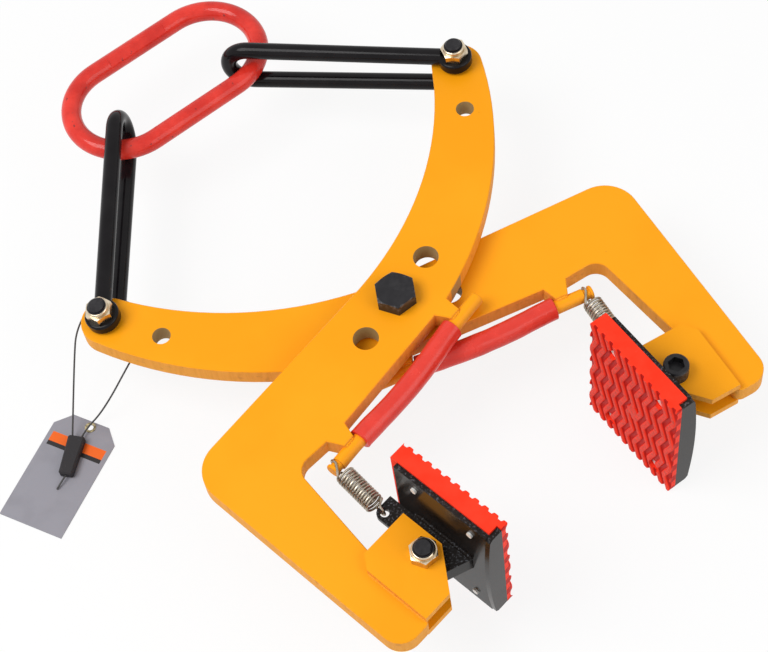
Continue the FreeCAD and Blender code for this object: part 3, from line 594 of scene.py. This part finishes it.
def tag_board():
    """Coated board with two plain printed bands near the top and fine grain."""
    g = Graph("tag_board", BOARD_GREY, roughness=0.45, shine=0.25)
    made = g.node("Mapping", vector_type="TEXTURE")
    made.inputs["Location"].default_value = PIVOT + TAG_PLACE
    made.inputs["Rotation"].default_value = (0, 0, math.radians(TAG_TURN))
    g.wire(g.place, made.inputs["Vector"])
    axes = g.node("SeparateXYZ")
    g.wire(made.outputs["Vector"], axes.inputs["Vector"])
    along = axes.outputs["X"]
    across = g.maths("ABSOLUTE", axes.outputs["Y"])
    width = g.maths("LESS_THAN", across, TAG_BAND_HALF)

    def band(low, high):
        above = g.maths("GREATER_THAN", along, low)
        inside = g.maths("MULTIPLY", above, g.maths("LESS_THAN", along, high))
        return g.maths("MULTIPLY", width, inside)

    grain = g.noise(scale=1100.0, detail=3.0)
    soil = g.ramp(g.noise(scale=38.0, detail=5.0), 0.45, 0.75)
    board = g.mix(g.maths("MULTIPLY", soil, 0.35), BOARD_GREY, BOARD_SOIL)
    board = g.mix(band(*TAG_ORANGE), board, BAND_ORANGE)
    g.colour(g.mix(band(*TAG_BLACK), board, BAND_BLACK))
    g.rough(g.ramp(grain, *WIDE, 0.36, 0.55))
    return g.bump(grain, strength=0.08, distance=0.0001).mat


def lock_plastic():
    g = Graph("lock_plastic", LOCK_BLACK, roughness=0.5, shine=0.20)
    grain = g.noise(scale=1400.0, detail=3.0)
    scuff = g.ramp(g.noise(scale=260.0, detail=5.0, rough=0.7), 0.58, 0.72)
    g.colour(g.mix(g.maths("MULTIPLY", scuff, 0.6), *LOCK_SCUFF))
    g.rough(g.ramp(grain, *WIDE, 0.42, 0.62))
    return g.bump(grain, strength=0.2, distance=0.0002).mat


def eyelet_brass():
    g = Graph("eyelet_brass", BRASS, roughness=0.35, metallic=1.0)
    cloud = g.noise(scale=500.0, detail=3.0)
    g.colour(g.mix(g.ramp(cloud, *SOFT), *BRASS_CLOUD))
    g.rough(g.ramp(cloud, *WIDE, 0.25, 0.5))
    return g.bump(cloud, strength=0.1, distance=0.0001).mat


def black_wire():
    g = Graph("tag_wire", WIRE_BLACK, roughness=0.45)
    grain = g.noise(scale=1600.0, detail=3.0)
    g.colour(g.mix(g.ramp(grain, 0.4, 0.7), *WIRE_GRAIN))
    g.rough(g.ramp(grain, *WIDE, 0.35, 0.6))
    return g.bump(grain, strength=0.25, distance=0.0002).mat


MATERIALS = {
    "orange_paint": orange_paint(),
    "black_oxide": black_oxide(),
    "black_gloss": black_gloss(),
    "black_paint": gloss_paint("black_paint", BLACK_COATS, BLACK_CHIP, shine=0.14, roughness=0.15,
                               chip_from=0.72, peel=0.08),
    "red_paint": gloss_paint("red_paint", RED_COATS, RED_CHIP, shine=0.28, roughness=0.18,
                             chip_from=0.66, peel=0.30),
    "yellow_zinc": plated("yellow_zinc", YELLOW_ZINC, roughness=0.20),
    "bright_zinc": plated("bright_zinc", BRIGHT_ZINC, roughness=0.42, metallic=0.45),
    "spring_wire": drawn_wire(),
    "red_rubber": moulded_rubber(),
    "red_hose": hose_rubber(),
    "tag_board": tag_board(),
    "eyelet_brass": eyelet_brass(),
    "lock_plastic": lock_plastic(),
    "tag_wire": black_wire(),
}


def dress(obj, slot):
    obj.data.materials.clear()
    obj.data.materials.append(MATERIALS[slot])


def dress_frame():
    """Every CAD node gets the material of its slot in the record."""
    for subpart in frame["record"]["subparts"]:
        dress(frame["nodes"][subpart["node"]], subpart["material_slot"])


# Mesh helpers


def placed(name, data):
    obj = bpy.data.objects.new(name, data)
    bpy.context.scene.collection.objects.link(obj)
    return obj


def evaluated_mesh(obj):
    """Mesh that an object shows, with its modifiers or as a curve."""
    bpy.context.view_layer.update()
    graph = bpy.context.evaluated_depsgraph_get()
    return bpy.data.meshes.new_from_object(obj.evaluated_get(graph))


def circle(sides):
    """Cosine and sine of each corner of a ring."""
    turns = [2 * math.pi * k / sides for k in range(sides)]
    return [(math.cos(turn), math.sin(turn)) for turn in turns]


def add_object(name, mesh, slot, angle=SMOOTH_ANGLE):
    mesh.shade_smooth()
    mesh.set_sharp_from_angle(angle=math.radians(angle))
    obj = placed(name, mesh)
    dress(obj, slot)
    return obj


def add_mesh(name, verts, faces, slot):
    mesh = bpy.data.meshes.new(name)
    mesh.from_pydata([tuple(v) for v in verts], [], faces)
    return add_object(name, mesh, slot)


def tube_faces(rings, sides):
    """Quads between rings of points, one ring after another."""
    faces = []
    for k in range(rings - 1):
        for s in range(sides):
            t = (s + 1) % sides
            faces.append((k * sides + s, k * sides + t, (k + 1) * sides + t, (k + 1) * sides + s))
    return faces


def sweep(points, radii, sides):
    """Closed tube through points, with a radius at each, turned as little as the way allows."""
    ways = []
    for k in range(len(points)):
        before = points[max(k - 1, 0)]
        after = points[min(k + 1, len(points) - 1)]
        ways.append((after - before).normalized())
    side = ways[0].orthogonal().normalized()
    verts = []
    for k, (point, way) in enumerate(zip(points, ways)):
        if k:
            side = ways[k - 1].rotation_difference(way) @ side
        other = way.cross(side)
        for c, s in circle(sides):
            verts.append(point + (side * c + other * s) * radii[k])
    faces = tube_faces(len(points), sides)
    last = (len(points) - 1) * sides
    faces.append(tuple(reversed(range(sides))))
    faces.append(tuple(range(last, last + sides)))
    return verts, faces


def wire_line(name, points, radius, resolution, roundness):
    """Round wire along a smooth curve that the points lead."""
    line = bpy.data.curves.new(name, "CURVE")
    line.dimensions = "3D"
    path = line.splines.new("NURBS")
    path.points.add(len(points) - 1)
    for target, point in zip(path.points, points):
        target.co = (*point, 1)
    path.order_u = CURVE_ORDER
    path.use_endpoint_u = True
    path.resolution_u = resolution
    line.bevel_depth = radius
    line.bevel_resolution = roundness
    line.use_fill_caps = True
    return placed(name, line)


def weld(name, start, end, radius, body, slot):
    """Ripple bead along a seam, half sunk in the corner that it fills."""
    draw = random.Random(name)
    shift = draw.uniform(0, WELD_SHIFTS)
    span = (end - start).length
    count = max(WELD_LEAST_STEPS, round(span / WELD_STEP))
    points = []
    radii = []
    for k in range(count + 1):
        at = span * k / count
        ripple = WELD_RIPPLE * math.sin(2 * math.pi * at / WELD_PITCH)
        wander = WELD_WANDER * noise.noise(Vector((at / WELD_PITCH / 2, shift, 0)))
        taper = min(1.0, math.sqrt(min(at, span - at) / WELD_END) + WELD_END_SHARE)
        points.append(start.lerp(end, k / count))
        radii.append(radius * (1 + ripple + wander) * taper)
    verts, faces = sweep(points, radii, WELD_SIDES)
    obj = add_mesh(name, verts, faces, slot)
    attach(obj, body)


# Handle sleeves


def handle_bow(along):
    """How far the rod's line stands out past its straight ends: arcs of one radius and short runs."""
    half = RECESS_L / 2
    slope = math.atan2(ROD_BOW, half)
    u = abs(along - half)
    tangent = ROD_BEND_R * math.tan(slope / 2)
    if u < ROD_BEND_R * math.sin(slope):
        crown = ROD_BOW - ROD_BEND_R * (1 / math.cos(slope) - 1)
        return crown - ROD_BEND_R + math.sqrt(ROD_BEND_R ** 2 - u ** 2)
    if u < half - tangent * math.cos(slope):
        return ROD_BOW * (1 - u / half)
    if u < half + tangent:
        return ROD_BEND_R - math.sqrt(ROD_BEND_R ** 2 - (half + tangent - u) ** 2)
    return 0.0


def by_recess(along, out):
    """Point beside the recess of the upper arm: along its edge, and out from it."""
    way = (RECESS_UP - RECESS_LOW).normalized()
    level = PLACE["upper_pad_turn"].z - PIVOT.z
    return RECESS_LOW + way * along + Vector((way.y, -way.x, 0)) * out + UP * level


def sleeve_profile(side):
    """Rings of the hose: place along the recess and radius, over both open ends."""
    draw = random.Random(side)
    waves = []
    for _ in range(SLEEVE_WAVES):
        waves.append((draw.uniform(*WAVE_SIZE), draw.uniform(*WAVE_RATE), draw.uniform(*WAVE_SHIFT)))
    low = -SLEEVE_PAST
    high = RECESS_L + SLEEVE_PAST
    profile = [(low, ROD_R), (low, SLEEVE_R - SLEEVE_LIP), (low + SLEEVE_LIP, SLEEVE_R)]
    for k in range(1, SLEEVE_RINGS):
        share = k / SLEEVE_RINGS
        bulge = sum(size * math.sin(rate * share * math.pi + shift) for size, rate, shift in waves)
        at = low + SLEEVE_LIP + (high - low - 2 * SLEEVE_LIP) * share
        profile.append((at, SLEEVE_R - SLEEVE_GIVE + bulge))
    profile += [(high - SLEEVE_LIP, SLEEVE_R), (high, SLEEVE_R - SLEEVE_LIP), (high, ROD_R)]
    return profile


def handle_sleeve(side):
    """Hose pushed over the bowed rod, with a slightly uneven wall and rounded open ends."""
    profile = sleeve_profile(side)
    way = (RECESS_UP - RECESS_LOW).normalized()
    across = way.cross(UP).normalized()
    to_row = half_frame(side)
    verts = []
    for at, r in profile:
        point = by_recess(at, ROD_OFFSET + handle_bow(at))
        for c, s in circle(SLEEVE_SIDES):
            verts.append(to_row @ (point + (across * c + UP * s) * r))
    obj = add_mesh(side + "_hose", verts, tube_faces(len(profile), SLEEVE_SIDES), "red_hose")
    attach(obj, side + "_arm")
    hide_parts(side + "_handle_sleeve")


def arm_welds(side):
    """Beads where the rod lies in its two tabs, and along the cheeks on the leg."""
    to_row = half_frame(side)
    body = side + "_arm"
    rise = math.sqrt(ROD_R ** 2 - (ROD_OFFSET - TAB_REACH) ** 2)
    spans = {"low": (-TAB_OUT, -TAB_IN), "high": (RECESS_L + TAB_IN, RECESS_L + TAB_OUT)}
    for tab, (first, last) in spans.items():
        for face, z in (("top", rise), ("under", -rise)):
            a = to_row @ (by_recess(first, TAB_REACH) + UP * z)
            b = to_row @ (by_recess(last, TAB_REACH) + UP * z)
            weld("_".join((side, tab, face, "tab_weld")), a, b, TAB_WELD_R, body, "orange_paint")
    level = by_recess(0, 0).z
    turn = Matrix.Rotation(math.radians(LEG_LEAN), 4, "Z")
    for face, z in (("outer", level + PLATE_T / 2), ("inner", level - PLATE_T / 2)):
        a = to_row @ (PAD_PIVOT + turn @ Vector((-CHEEK_OUT, -CHEEK_DOWN, 0)) + UP * z)
        b = to_row @ (PAD_PIVOT + turn @ Vector((-CHEEK_OUT, CHEEK_UP, 0)) + UP * z)
        weld("_".join((side, face, "cheek_weld")), a, b, CHEEK_WELD_R, body, "orange_paint")


# Lock nuts


def nut_ring(name):
    """Dark ring of the lock nut's insert, round the screw's end."""
    body, joint, way, top = NUT_TOPS[name]
    at = Matrix.Translation(PLACE[joint]) @ UP.rotation_difference(Vector(way)).to_matrix().to_4x4()
    bore = SCREW_R + INSERT_PLAY
    profile = [
        (bore, top - INSERT_SUNK),
        (bore, top + INSERT_PROUD - INSERT_ROUND),
        (bore + INSERT_ROUND, top + INSERT_PROUD),
        (INSERT_R - INSERT_ROUND, top + INSERT_PROUD),
        (INSERT_R, top + INSERT_PROUD - INSERT_ROUND),
        (INSERT_R, top - INSERT_SUNK),
    ]
    verts = []
    for r, z in profile + profile[:1]:
        for c, s in circle(INSERT_SIDES):
            verts.append(at @ Vector((r * c, r * s, z)))
    obj = add_mesh(name + "_nut_insert", verts, tube_faces(len(profile) + 1, INSERT_SIDES), "lock_plastic")
    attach(obj, body)


# Jaw pads


def rib_height(y, z):
    """Height of the tread over the sheet: zigzag ribs side by side."""
    pitch = (RUBBER_HIGH - RUBBER_LOW) / TREAD_COLUMNS
    turns = (y - tread_sway(z) - RUBBER_LOW) / pitch
    off = abs(turns - math.floor(turns) - 0.5) * pitch
    for (near, high), (far, low) in zip(RIB_SECTION, RIB_SECTION[1:]):
        if off <= far:
            return high + (low - high) * (off - near) / (far - near)
    return 0.0


def tread_sway(z):
    """Side step of the zigzag at a height, its corners a little rounded."""
    bends = (z + RUBBER_H / 2) / RUBBER_H * TREAD_BENDS
    swing = math.asin(TREAD_BEND_SHARE * math.cos(math.pi * bends)) / math.asin(TREAD_BEND_SHARE)
    return TREAD_SWING / 2 * swing


def tread_point(y, z):
    """Point of the treaded face, kept inside the rubber's outline and rounded off along its rim."""
    y = max(RUBBER_LOW, min(RUBBER_HIGH, y))
    inside = min(y - RUBBER_LOW, RUBBER_HIGH - y, RUBBER_H / 2 - abs(z))
    short = RUBBER_EDGE - min(RUBBER_EDGE, max(0.0, inside))
    drop = RUBBER_EDGE - math.sqrt(RUBBER_EDGE ** 2 - short ** 2)
    uneven = TREAD_UNEVEN * noise.noise(Vector((y, z, 0)) / TREAD_SWING)
    return Vector((RUBBER_FRONT + rib_height(y, z) - drop + uneven, y, z))


def tread_columns():
    """Lines that the ribs' sections give, from one side of the sheet past the other."""
    pitch = (RUBBER_HIGH - RUBBER_LOW) / TREAD_COLUMNS
    columns = set()
    for k in range(-1, TREAD_COLUMNS + 1):
        middle = RUBBER_LOW + (k + 0.5) * pitch
        for off, _ in RIB_SECTION:
            columns.add(round(middle - off, COLUMN_DIGITS))
            columns.add(round(middle + off, COLUMN_DIGITS))
    return sorted(columns)


def tread_rows():
    """Heights at which the tread is drawn, closer together along both rims."""
    half = RUBBER_H / 2
    inner = half - TREAD_EDGE_STEPS[-1]
    count = round(2 * inner / TREAD_STEP)
    rows = [step - half for step in TREAD_EDGE_STEPS[:-1]]
    rows += [2 * inner * k / count - inner for k in range(count + 1)]
    return rows + [half - step for step in reversed(TREAD_EDGE_STEPS[:-1])]


def rim_walls(bm):
    """Points of new walls drawn out of the open rim."""
    rim = [e for e in bm.edges if e.is_boundary]
    walls = bmesh.ops.extrude_edge_only(bm, edges=rim)["geom"]
    return [v for v in walls if isinstance(v, bmesh.types.BMVert)]


def tread_block():
    """The treaded face, closed at the sides and the back."""
    bm = bmesh.new()
    grid = []
    for z in tread_rows():
        sway = tread_sway(z)
        grid.append([bm.verts.new(tread_point(s + sway, z)) for s in tread_columns()])
    for a, b in zip(grid, grid[1:]):
        for k in range(len(a) - 1):
            bm.faces.new((a[k], a[k + 1], b[k + 1], b[k]))
    bmesh.ops.remove_doubles(bm, verts=bm.verts[:], dist=MERGE)
    bmesh.ops.dissolve_degenerate(bm, edges=bm.edges[:], dist=MERGE)
    for vert in rim_walls(bm):
        vert.co.x -= RIM_STEP
    for vert in rim_walls(bm):
        vert.co.x = BLOCK_BACK
    bmesh.ops.holes_fill(bm, edges=[e for e in bm.edges if e.is_boundary], sides=0)
    bmesh.ops.recalc_face_normals(bm, faces=bm.faces[:])
    return bm


def boss_mesh():
    """Plain lozenge in the middle of the tread."""
    bm = bmesh.new()
    corners = [(0, -BOSS_H / 2), (BOSS_L / 2, 0), (0, BOSS_H / 2), (-BOSS_L / 2, 0)]
    rings = []
    for rise, share in BOSS_LEVEL_SHARES:
        x = RUBBER_FRONT + TREAD_T * rise
        rings.append([bm.verts.new((x, a * share, b * share)) for a, b in corners])
    for a, b in zip(rings, rings[1:]):
        for s in range(len(corners)):
            t = (s + 1) % len(corners)
            bm.faces.new((a[s], a[t], b[t], b[s]))
    bm.faces.new(rings[0][::-1])
    bm.faces.new(rings[-1])
    bmesh.ops.recalc_face_normals(bm, faces=bm.faces[:])
    return bm


def corner_cutter(bm, side, level):
    """Prism that rounds one corner of the rubber's outline."""
    y = RUBBER_HIGH - RUBBER_CORNER if side > 0 else RUBBER_LOW + RUBBER_CORNER
    z = level * (RUBBER_H / 2 - RUBBER_CORNER)
    far = 2 * RUBBER_CORNER
    outline = [(far, 0), (far, far), (0, far)]
    for k in range(CORNER_STEPS + 1):
        turn = math.pi / 2 * (1 - k / CORNER_STEPS)
        outline.append((RUBBER_CORNER * math.cos(turn), RUBBER_CORNER * math.sin(turn)))
    ends = []
    for x in (BLOCK_BACK - PAST, RUBBER_FRONT + PAST):
        ends.append([bm.verts.new((x, y + a * side, z + b * level)) for a, b in outline])
    count = len(outline)
    for k in range(count):
        t = (k + 1) % count
        bm.faces.new((ends[0][k], ends[0][t], ends[1][t], ends[1][k]))
    bm.faces.new(ends[0][::-1])
    bm.faces.new(ends[1])


def cutters():
    """Rounded corners, four screw wells and the room that the holder's flange takes up."""
    bm = bmesh.new()
    depth = RUBBER_FRONT + PAST - FLANGE_FRONT
    quarter = Matrix.Rotation(math.pi / 2, 4, "Y")
    for side in (-1, 1):
        for level in (-1, 1):
            corner_cutter(bm, side, level)
            at = Matrix.Translation((FLANGE_FRONT + depth / 2, side * SCREW_Y, level * SCREW_Z))
            bmesh.ops.create_cone(bm, cap_ends=True, segments=WELL_SIDES, radius1=SCREW_WELL_R,
                                  radius2=SCREW_WELL_R, depth=depth, matrix=at @ quarter)
    low = Vector((BLOCK_BACK - PAST, RUBBER_LOW - PAST, -RUBBER_H / 2 - PAST))
    high = Vector((FLANGE_FRONT, RUBBER_LOW + FLANGE_ROOM, RUBBER_H / 2 + PAST))
    middle = Matrix.Translation((low + high) / 2)
    bmesh.ops.create_cube(bm, size=1.0, matrix=middle @ Matrix.Diagonal((*(high - low), 1)))
    bmesh.ops.recalc_face_normals(bm, faces=bm.faces[:])
    return bm


def holder_of(bm, name):
    """Passing object that holds a mesh for the cut."""
    mesh = bpy.data.meshes.new(name)
    bm.to_mesh(mesh)
    bm.free()
    return placed(name, mesh)


def cut_block():
    """Treaded block with the wells and the flange's room cut out of it."""
    block = holder_of(tread_block(), "block")
    cutter = holder_of(cutters(), "cutter")
    cut = block.modifiers.new("cut", "BOOLEAN")
    cut.operation = "DIFFERENCE"
    cut.solver = "EXACT"
    cut.use_self = True
    cut.object = cutter
    made = evaluated_mesh(block)
    bpy.data.objects.remove(block)
    bpy.data.objects.remove(cutter)
    return made


def pad_rubber(side, block):
    """Rubber of one pad; its points carry their height in the tread, 0 at the foot and about 1 on top."""
    whole = boss_mesh()
    whole.from_mesh(block)
    height = whole.verts.layers.float.new("rib")
    for vert in whole.verts:
        vert[height] = max(0.0, (vert.co.x - RUBBER_FRONT + RIB_SUNK) / (TREAD_T + RIB_SUNK))
    whole.transform(pad_frame(side))
    mesh = bpy.data.meshes.new(side + "_tread")
    whole.to_mesh(mesh)
    whole.free()
    obj = add_object(side + "_tread", mesh, "red_rubber", TREAD_SMOOTH_ANGLE)
    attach(obj, side + "_pad")
    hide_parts(side + "_pad_rubber")


def pad_welds(side):
    """Beads that hold the lug on the back of the plate."""
    to_row = pad_frame(side)
    for face, z in (("top", LUG_HALF_T), ("under", -LUG_HALF_T)):
        a = to_row @ Vector((PAD_BACK, -LUG_ROOT_DOWN, z))
        b = to_row @ Vector((PAD_BACK, LUG_ROOT_UP, z))
        weld("_".join((side, face, "lug_weld")), a, b, LUG_WELD_R, side + "_pad", "black_gloss")


# Return springs


def loop_points(centre, way, radius, first, last):
    """Arc of an end loop, in the upright plane along the spring."""
    points = []
    for k in range(LOOP_STEPS + 1):
        turn = math.radians(first + (last - first) * k / LOOP_STEPS)
        points.append(centre + (way * math.cos(turn) + UP * math.sin(turn)) * radius)
    return points


def coil_points(start, end):
    """Close coil about the line from start to end, drawn in a little at both ends."""
    way = (end - start).normalized()
    out = way.cross(UP).normalized()
    count = COIL_STEPS * COIL_TURNS
    swept = 2 * math.pi * COIL_TURNS - 2 * math.radians(COIL_TAKE_OFF)
    points = []
    for k in range(count + 1):
        share = k / count
        turn = math.radians(COIL_TAKE_OFF) + share * swept
        ease = min(share, 1 - share) * COIL_TURNS
        r = COIL_R * min(1.0, COIL_END_SHARE + 2 * (1 - COIL_END_SHARE) * ease)
        points.append(start.lerp(end, share) + (UP * math.cos(turn) + out * math.sin(turn)) * r)
    return points


def spring(side):
    """Loop round the rod's groove, coil, and loop through the pad's ear."""
    hook = PLACE[side + "_spring_swing"]
    ear = pad_frame(side) @ EAR
    way = (ear - hook).normalized()
    points = loop_points(hook, way, ROD_LOOP_R, LOOP_TOP + LOOP_SWEEP, LOOP_TOP)
    points += coil_points(hook + way * COIL_FROM_ROD, ear - way * COIL_FROM_EAR)
    middle = ear - way * EAR_LOOP_R
    points += loop_points(middle, way, EAR_LOOP_R, LOOP_TOP, LOOP_TOP - LOOP_SWEEP)
    line = wire_line(side + "_coil", points, WIRE_R, COIL_RESOLUTION, COIL_ROUNDNESS)
    mesh = evaluated_mesh(line)
    bpy.data.objects.remove(line)
    obj = add_object(side + "_coil", mesh, "spring_wire")
    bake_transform(obj)
    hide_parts(side + "_spring")


# Tag


def tag_cord():
    """Loop of wire from the lock round the shackle's leg and back."""
    points = [PIVOT + Vector(point) for point in CORD_ROUTE]
    obj = wire_line("tag_loop", points, CORD_D / 2, CORD_RESOLUTION, CORD_ROUNDNESS)
    dress(obj, "tag_wire")
    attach(obj, "tag")
    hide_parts("tag_wire")
    return obj


def tag_tail():
    """Cut end of the wire, bent a little as it comes out of the lock."""
    at = tag_frame() @ Matrix.Translation(LOCK_END) @ Matrix.Rotation(math.radians(LOCK_TURN), 4, "Z")
    points = []
    for k in range(TAIL_STEPS + 1):
        share = k / TAIL_STEPS
        back = TAIL_SUNK - LOCK_L - TAIL_L * share
        out = TAIL_SIDE * share ** TAIL_SIDE_POWER
        points.append(at @ Vector((back, out, -TAIL_DROP * share ** TAIL_DROP_POWER)))
    radii = [CORD_D / 2] * TAIL_STEPS + [CORD_D / 2 * TAIL_TIP_SHARE]
    verts, faces = sweep(points, radii, TAIL_SIDES)
    obj = add_mesh("tag_wire_end", verts, faces, "tag_wire")
    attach(obj, "tag")
    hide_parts("tag_tail")
    return obj


def tag_pieces():
    with_pieces = [tag_tail(), "tag_plate", "tag_eyelet", "tag_lock"]
    tag_cord()


# Stage


def background_rays(tree):
    """1 where a camera, glossy or transmission ray meets the background, 0 where it lights things."""
    path = tree.nodes.new("ShaderNodeLightPath")
    flag = path.outputs["Is Camera Ray"]
    for name in ("Is Glossy Ray", "Is Transmission Ray"):
        both = tree.nodes.new("ShaderNodeMath")
        both.operation = "MAXIMUM"
        tree.links.new(flag, both.inputs[0])
        tree.links.new(path.outputs[name], both.inputs[1])
        flag = both.outputs["Value"]
    return flag


def floor_nodes(tree):
    """White where it is looked at, partly lit so that shadows show."""
    bsdf = tree.nodes["Principled BSDF"]
    bsdf.inputs["Base Color"].default_value = (FLOOR_GREY, FLOOR_GREY, FLOOR_GREY, 1)
    bsdf.inputs["Roughness"].default_value = FLOOR_ROUGH
    bsdf.inputs["Specular IOR Level"].default_value = FLOOR_SHINE
    glow = tree.nodes.new("ShaderNodeEmission")
    glow.inputs["Strength"].default_value = FLOOR_GLOW
    share = tree.nodes.new("ShaderNodeMath")
    share.operation = "MULTIPLY"
    share.inputs[1].default_value = FLOOR_GLOW_SHARE
    mixed = tree.nodes.new("ShaderNodeMixShader")
    tree.links.new(background_rays(tree), share.inputs[0])
    tree.links.new(share.outputs["Value"], mixed.inputs["Fac"])
    tree.links.new(bsdf.outputs["BSDF"], mixed.inputs[1])
    tree.links.new(glow.outputs["Emission"], mixed.inputs[2])
    tree.links.new(mixed.outputs["Shader"], tree.nodes["Material Output"].inputs["Surface"])


def stage():
    """White floor under the part."""
    r = FLOOR_REACH
    mesh = bpy.data.meshes.new("floor")
    mesh.from_pydata([(-r, -r, 0), (r, -r, 0), (r, r, 0), (-r, r, 0)], [], [(0, 1, 2, 3)])
    floor = placed("floor", mesh)
    mat = bpy.data.materials.new("floor")
    mat.use_nodes = True
    floor_nodes(mat.node_tree)
    mesh.materials.append(mat)


def lamp(name, place, size, power):
    """Round lamp turned towards the middle of the floor."""
    data = bpy.data.lights.new(name, "AREA")
    data.shape = "DISK"
    data.size = size
    data.energy = power
    obj = placed(name, data)
    obj.location = place
    obj.rotation_euler = (-Vector(place)).to_track_quat("-Z", "Y").to_euler()


def world():
    """Even light, white where it is looked at."""
    made = bpy.data.worlds.new("studio")
    bpy.context.scene.world = made
    made.use_nodes = True
    tree = made.node_tree
    back = tree.nodes["Background"]
    back.inputs["Color"].default_value = (1, 1, 1, 1)
    level = tree.nodes.new("ShaderNodeMapRange")
    level.inputs["To Min"].default_value = WORLD_LIGHT
    level.inputs["To Max"].default_value = WORLD_SEEN
    tree.links.new(background_rays(tree), level.inputs["Value"])
    tree.links.new(level.outputs["Result"], back.inputs["Strength"])


def camera():
    """Camera of the photograph, with its lean."""
    a, e, r = (math.radians(v) for v in (CAMERA_AZIMUTH, CAMERA_ELEVATION, CAMERA_ROLL))
    back = Vector((math.sin(a) * math.cos(e), -math.cos(a) * math.cos(e), math.sin(e)))
    level = Vector((math.cos(a), math.sin(a), 0))
    steep = back.cross(level)
    right = level * math.cos(r) + steep * math.sin(r)
    cam = bpy.data.cameras.new("camera")
    cam.sensor_fit = "HORIZONTAL"
    cam.sensor_width = SENSOR
    cam.lens = SENSOR * FOCAL_SHARE
    cam.clip_end = CAMERA_REACH
    obj = placed("camera", cam)
    turn = Matrix((right, back.cross(right), back)).transposed().to_4x4()
    obj.matrix_world = Matrix.Translation(PIVOT + CAMERA_FROM_PIVOT) @ turn
    bpy.context.scene.camera = obj


bpy.context.scene.view_settings.view_transform = "Standard"
camera()
world()
lamp("key", KEY_PLACE, KEY_SIZE, KEY_POWER)
lamp("fill", FILL_PLACE, FILL_SIZE, FILL_POWER)
stage()
dress_frame()
tag_pieces()
tread = cut_block()
for side in SIDES:
    handle_sleeve(side)
    arm_welds(side)
    pad_rubber(side, tread)
    pad_welds(side)
    spring(side)
for name in NUT_TOPS:
    nut_ring(name)
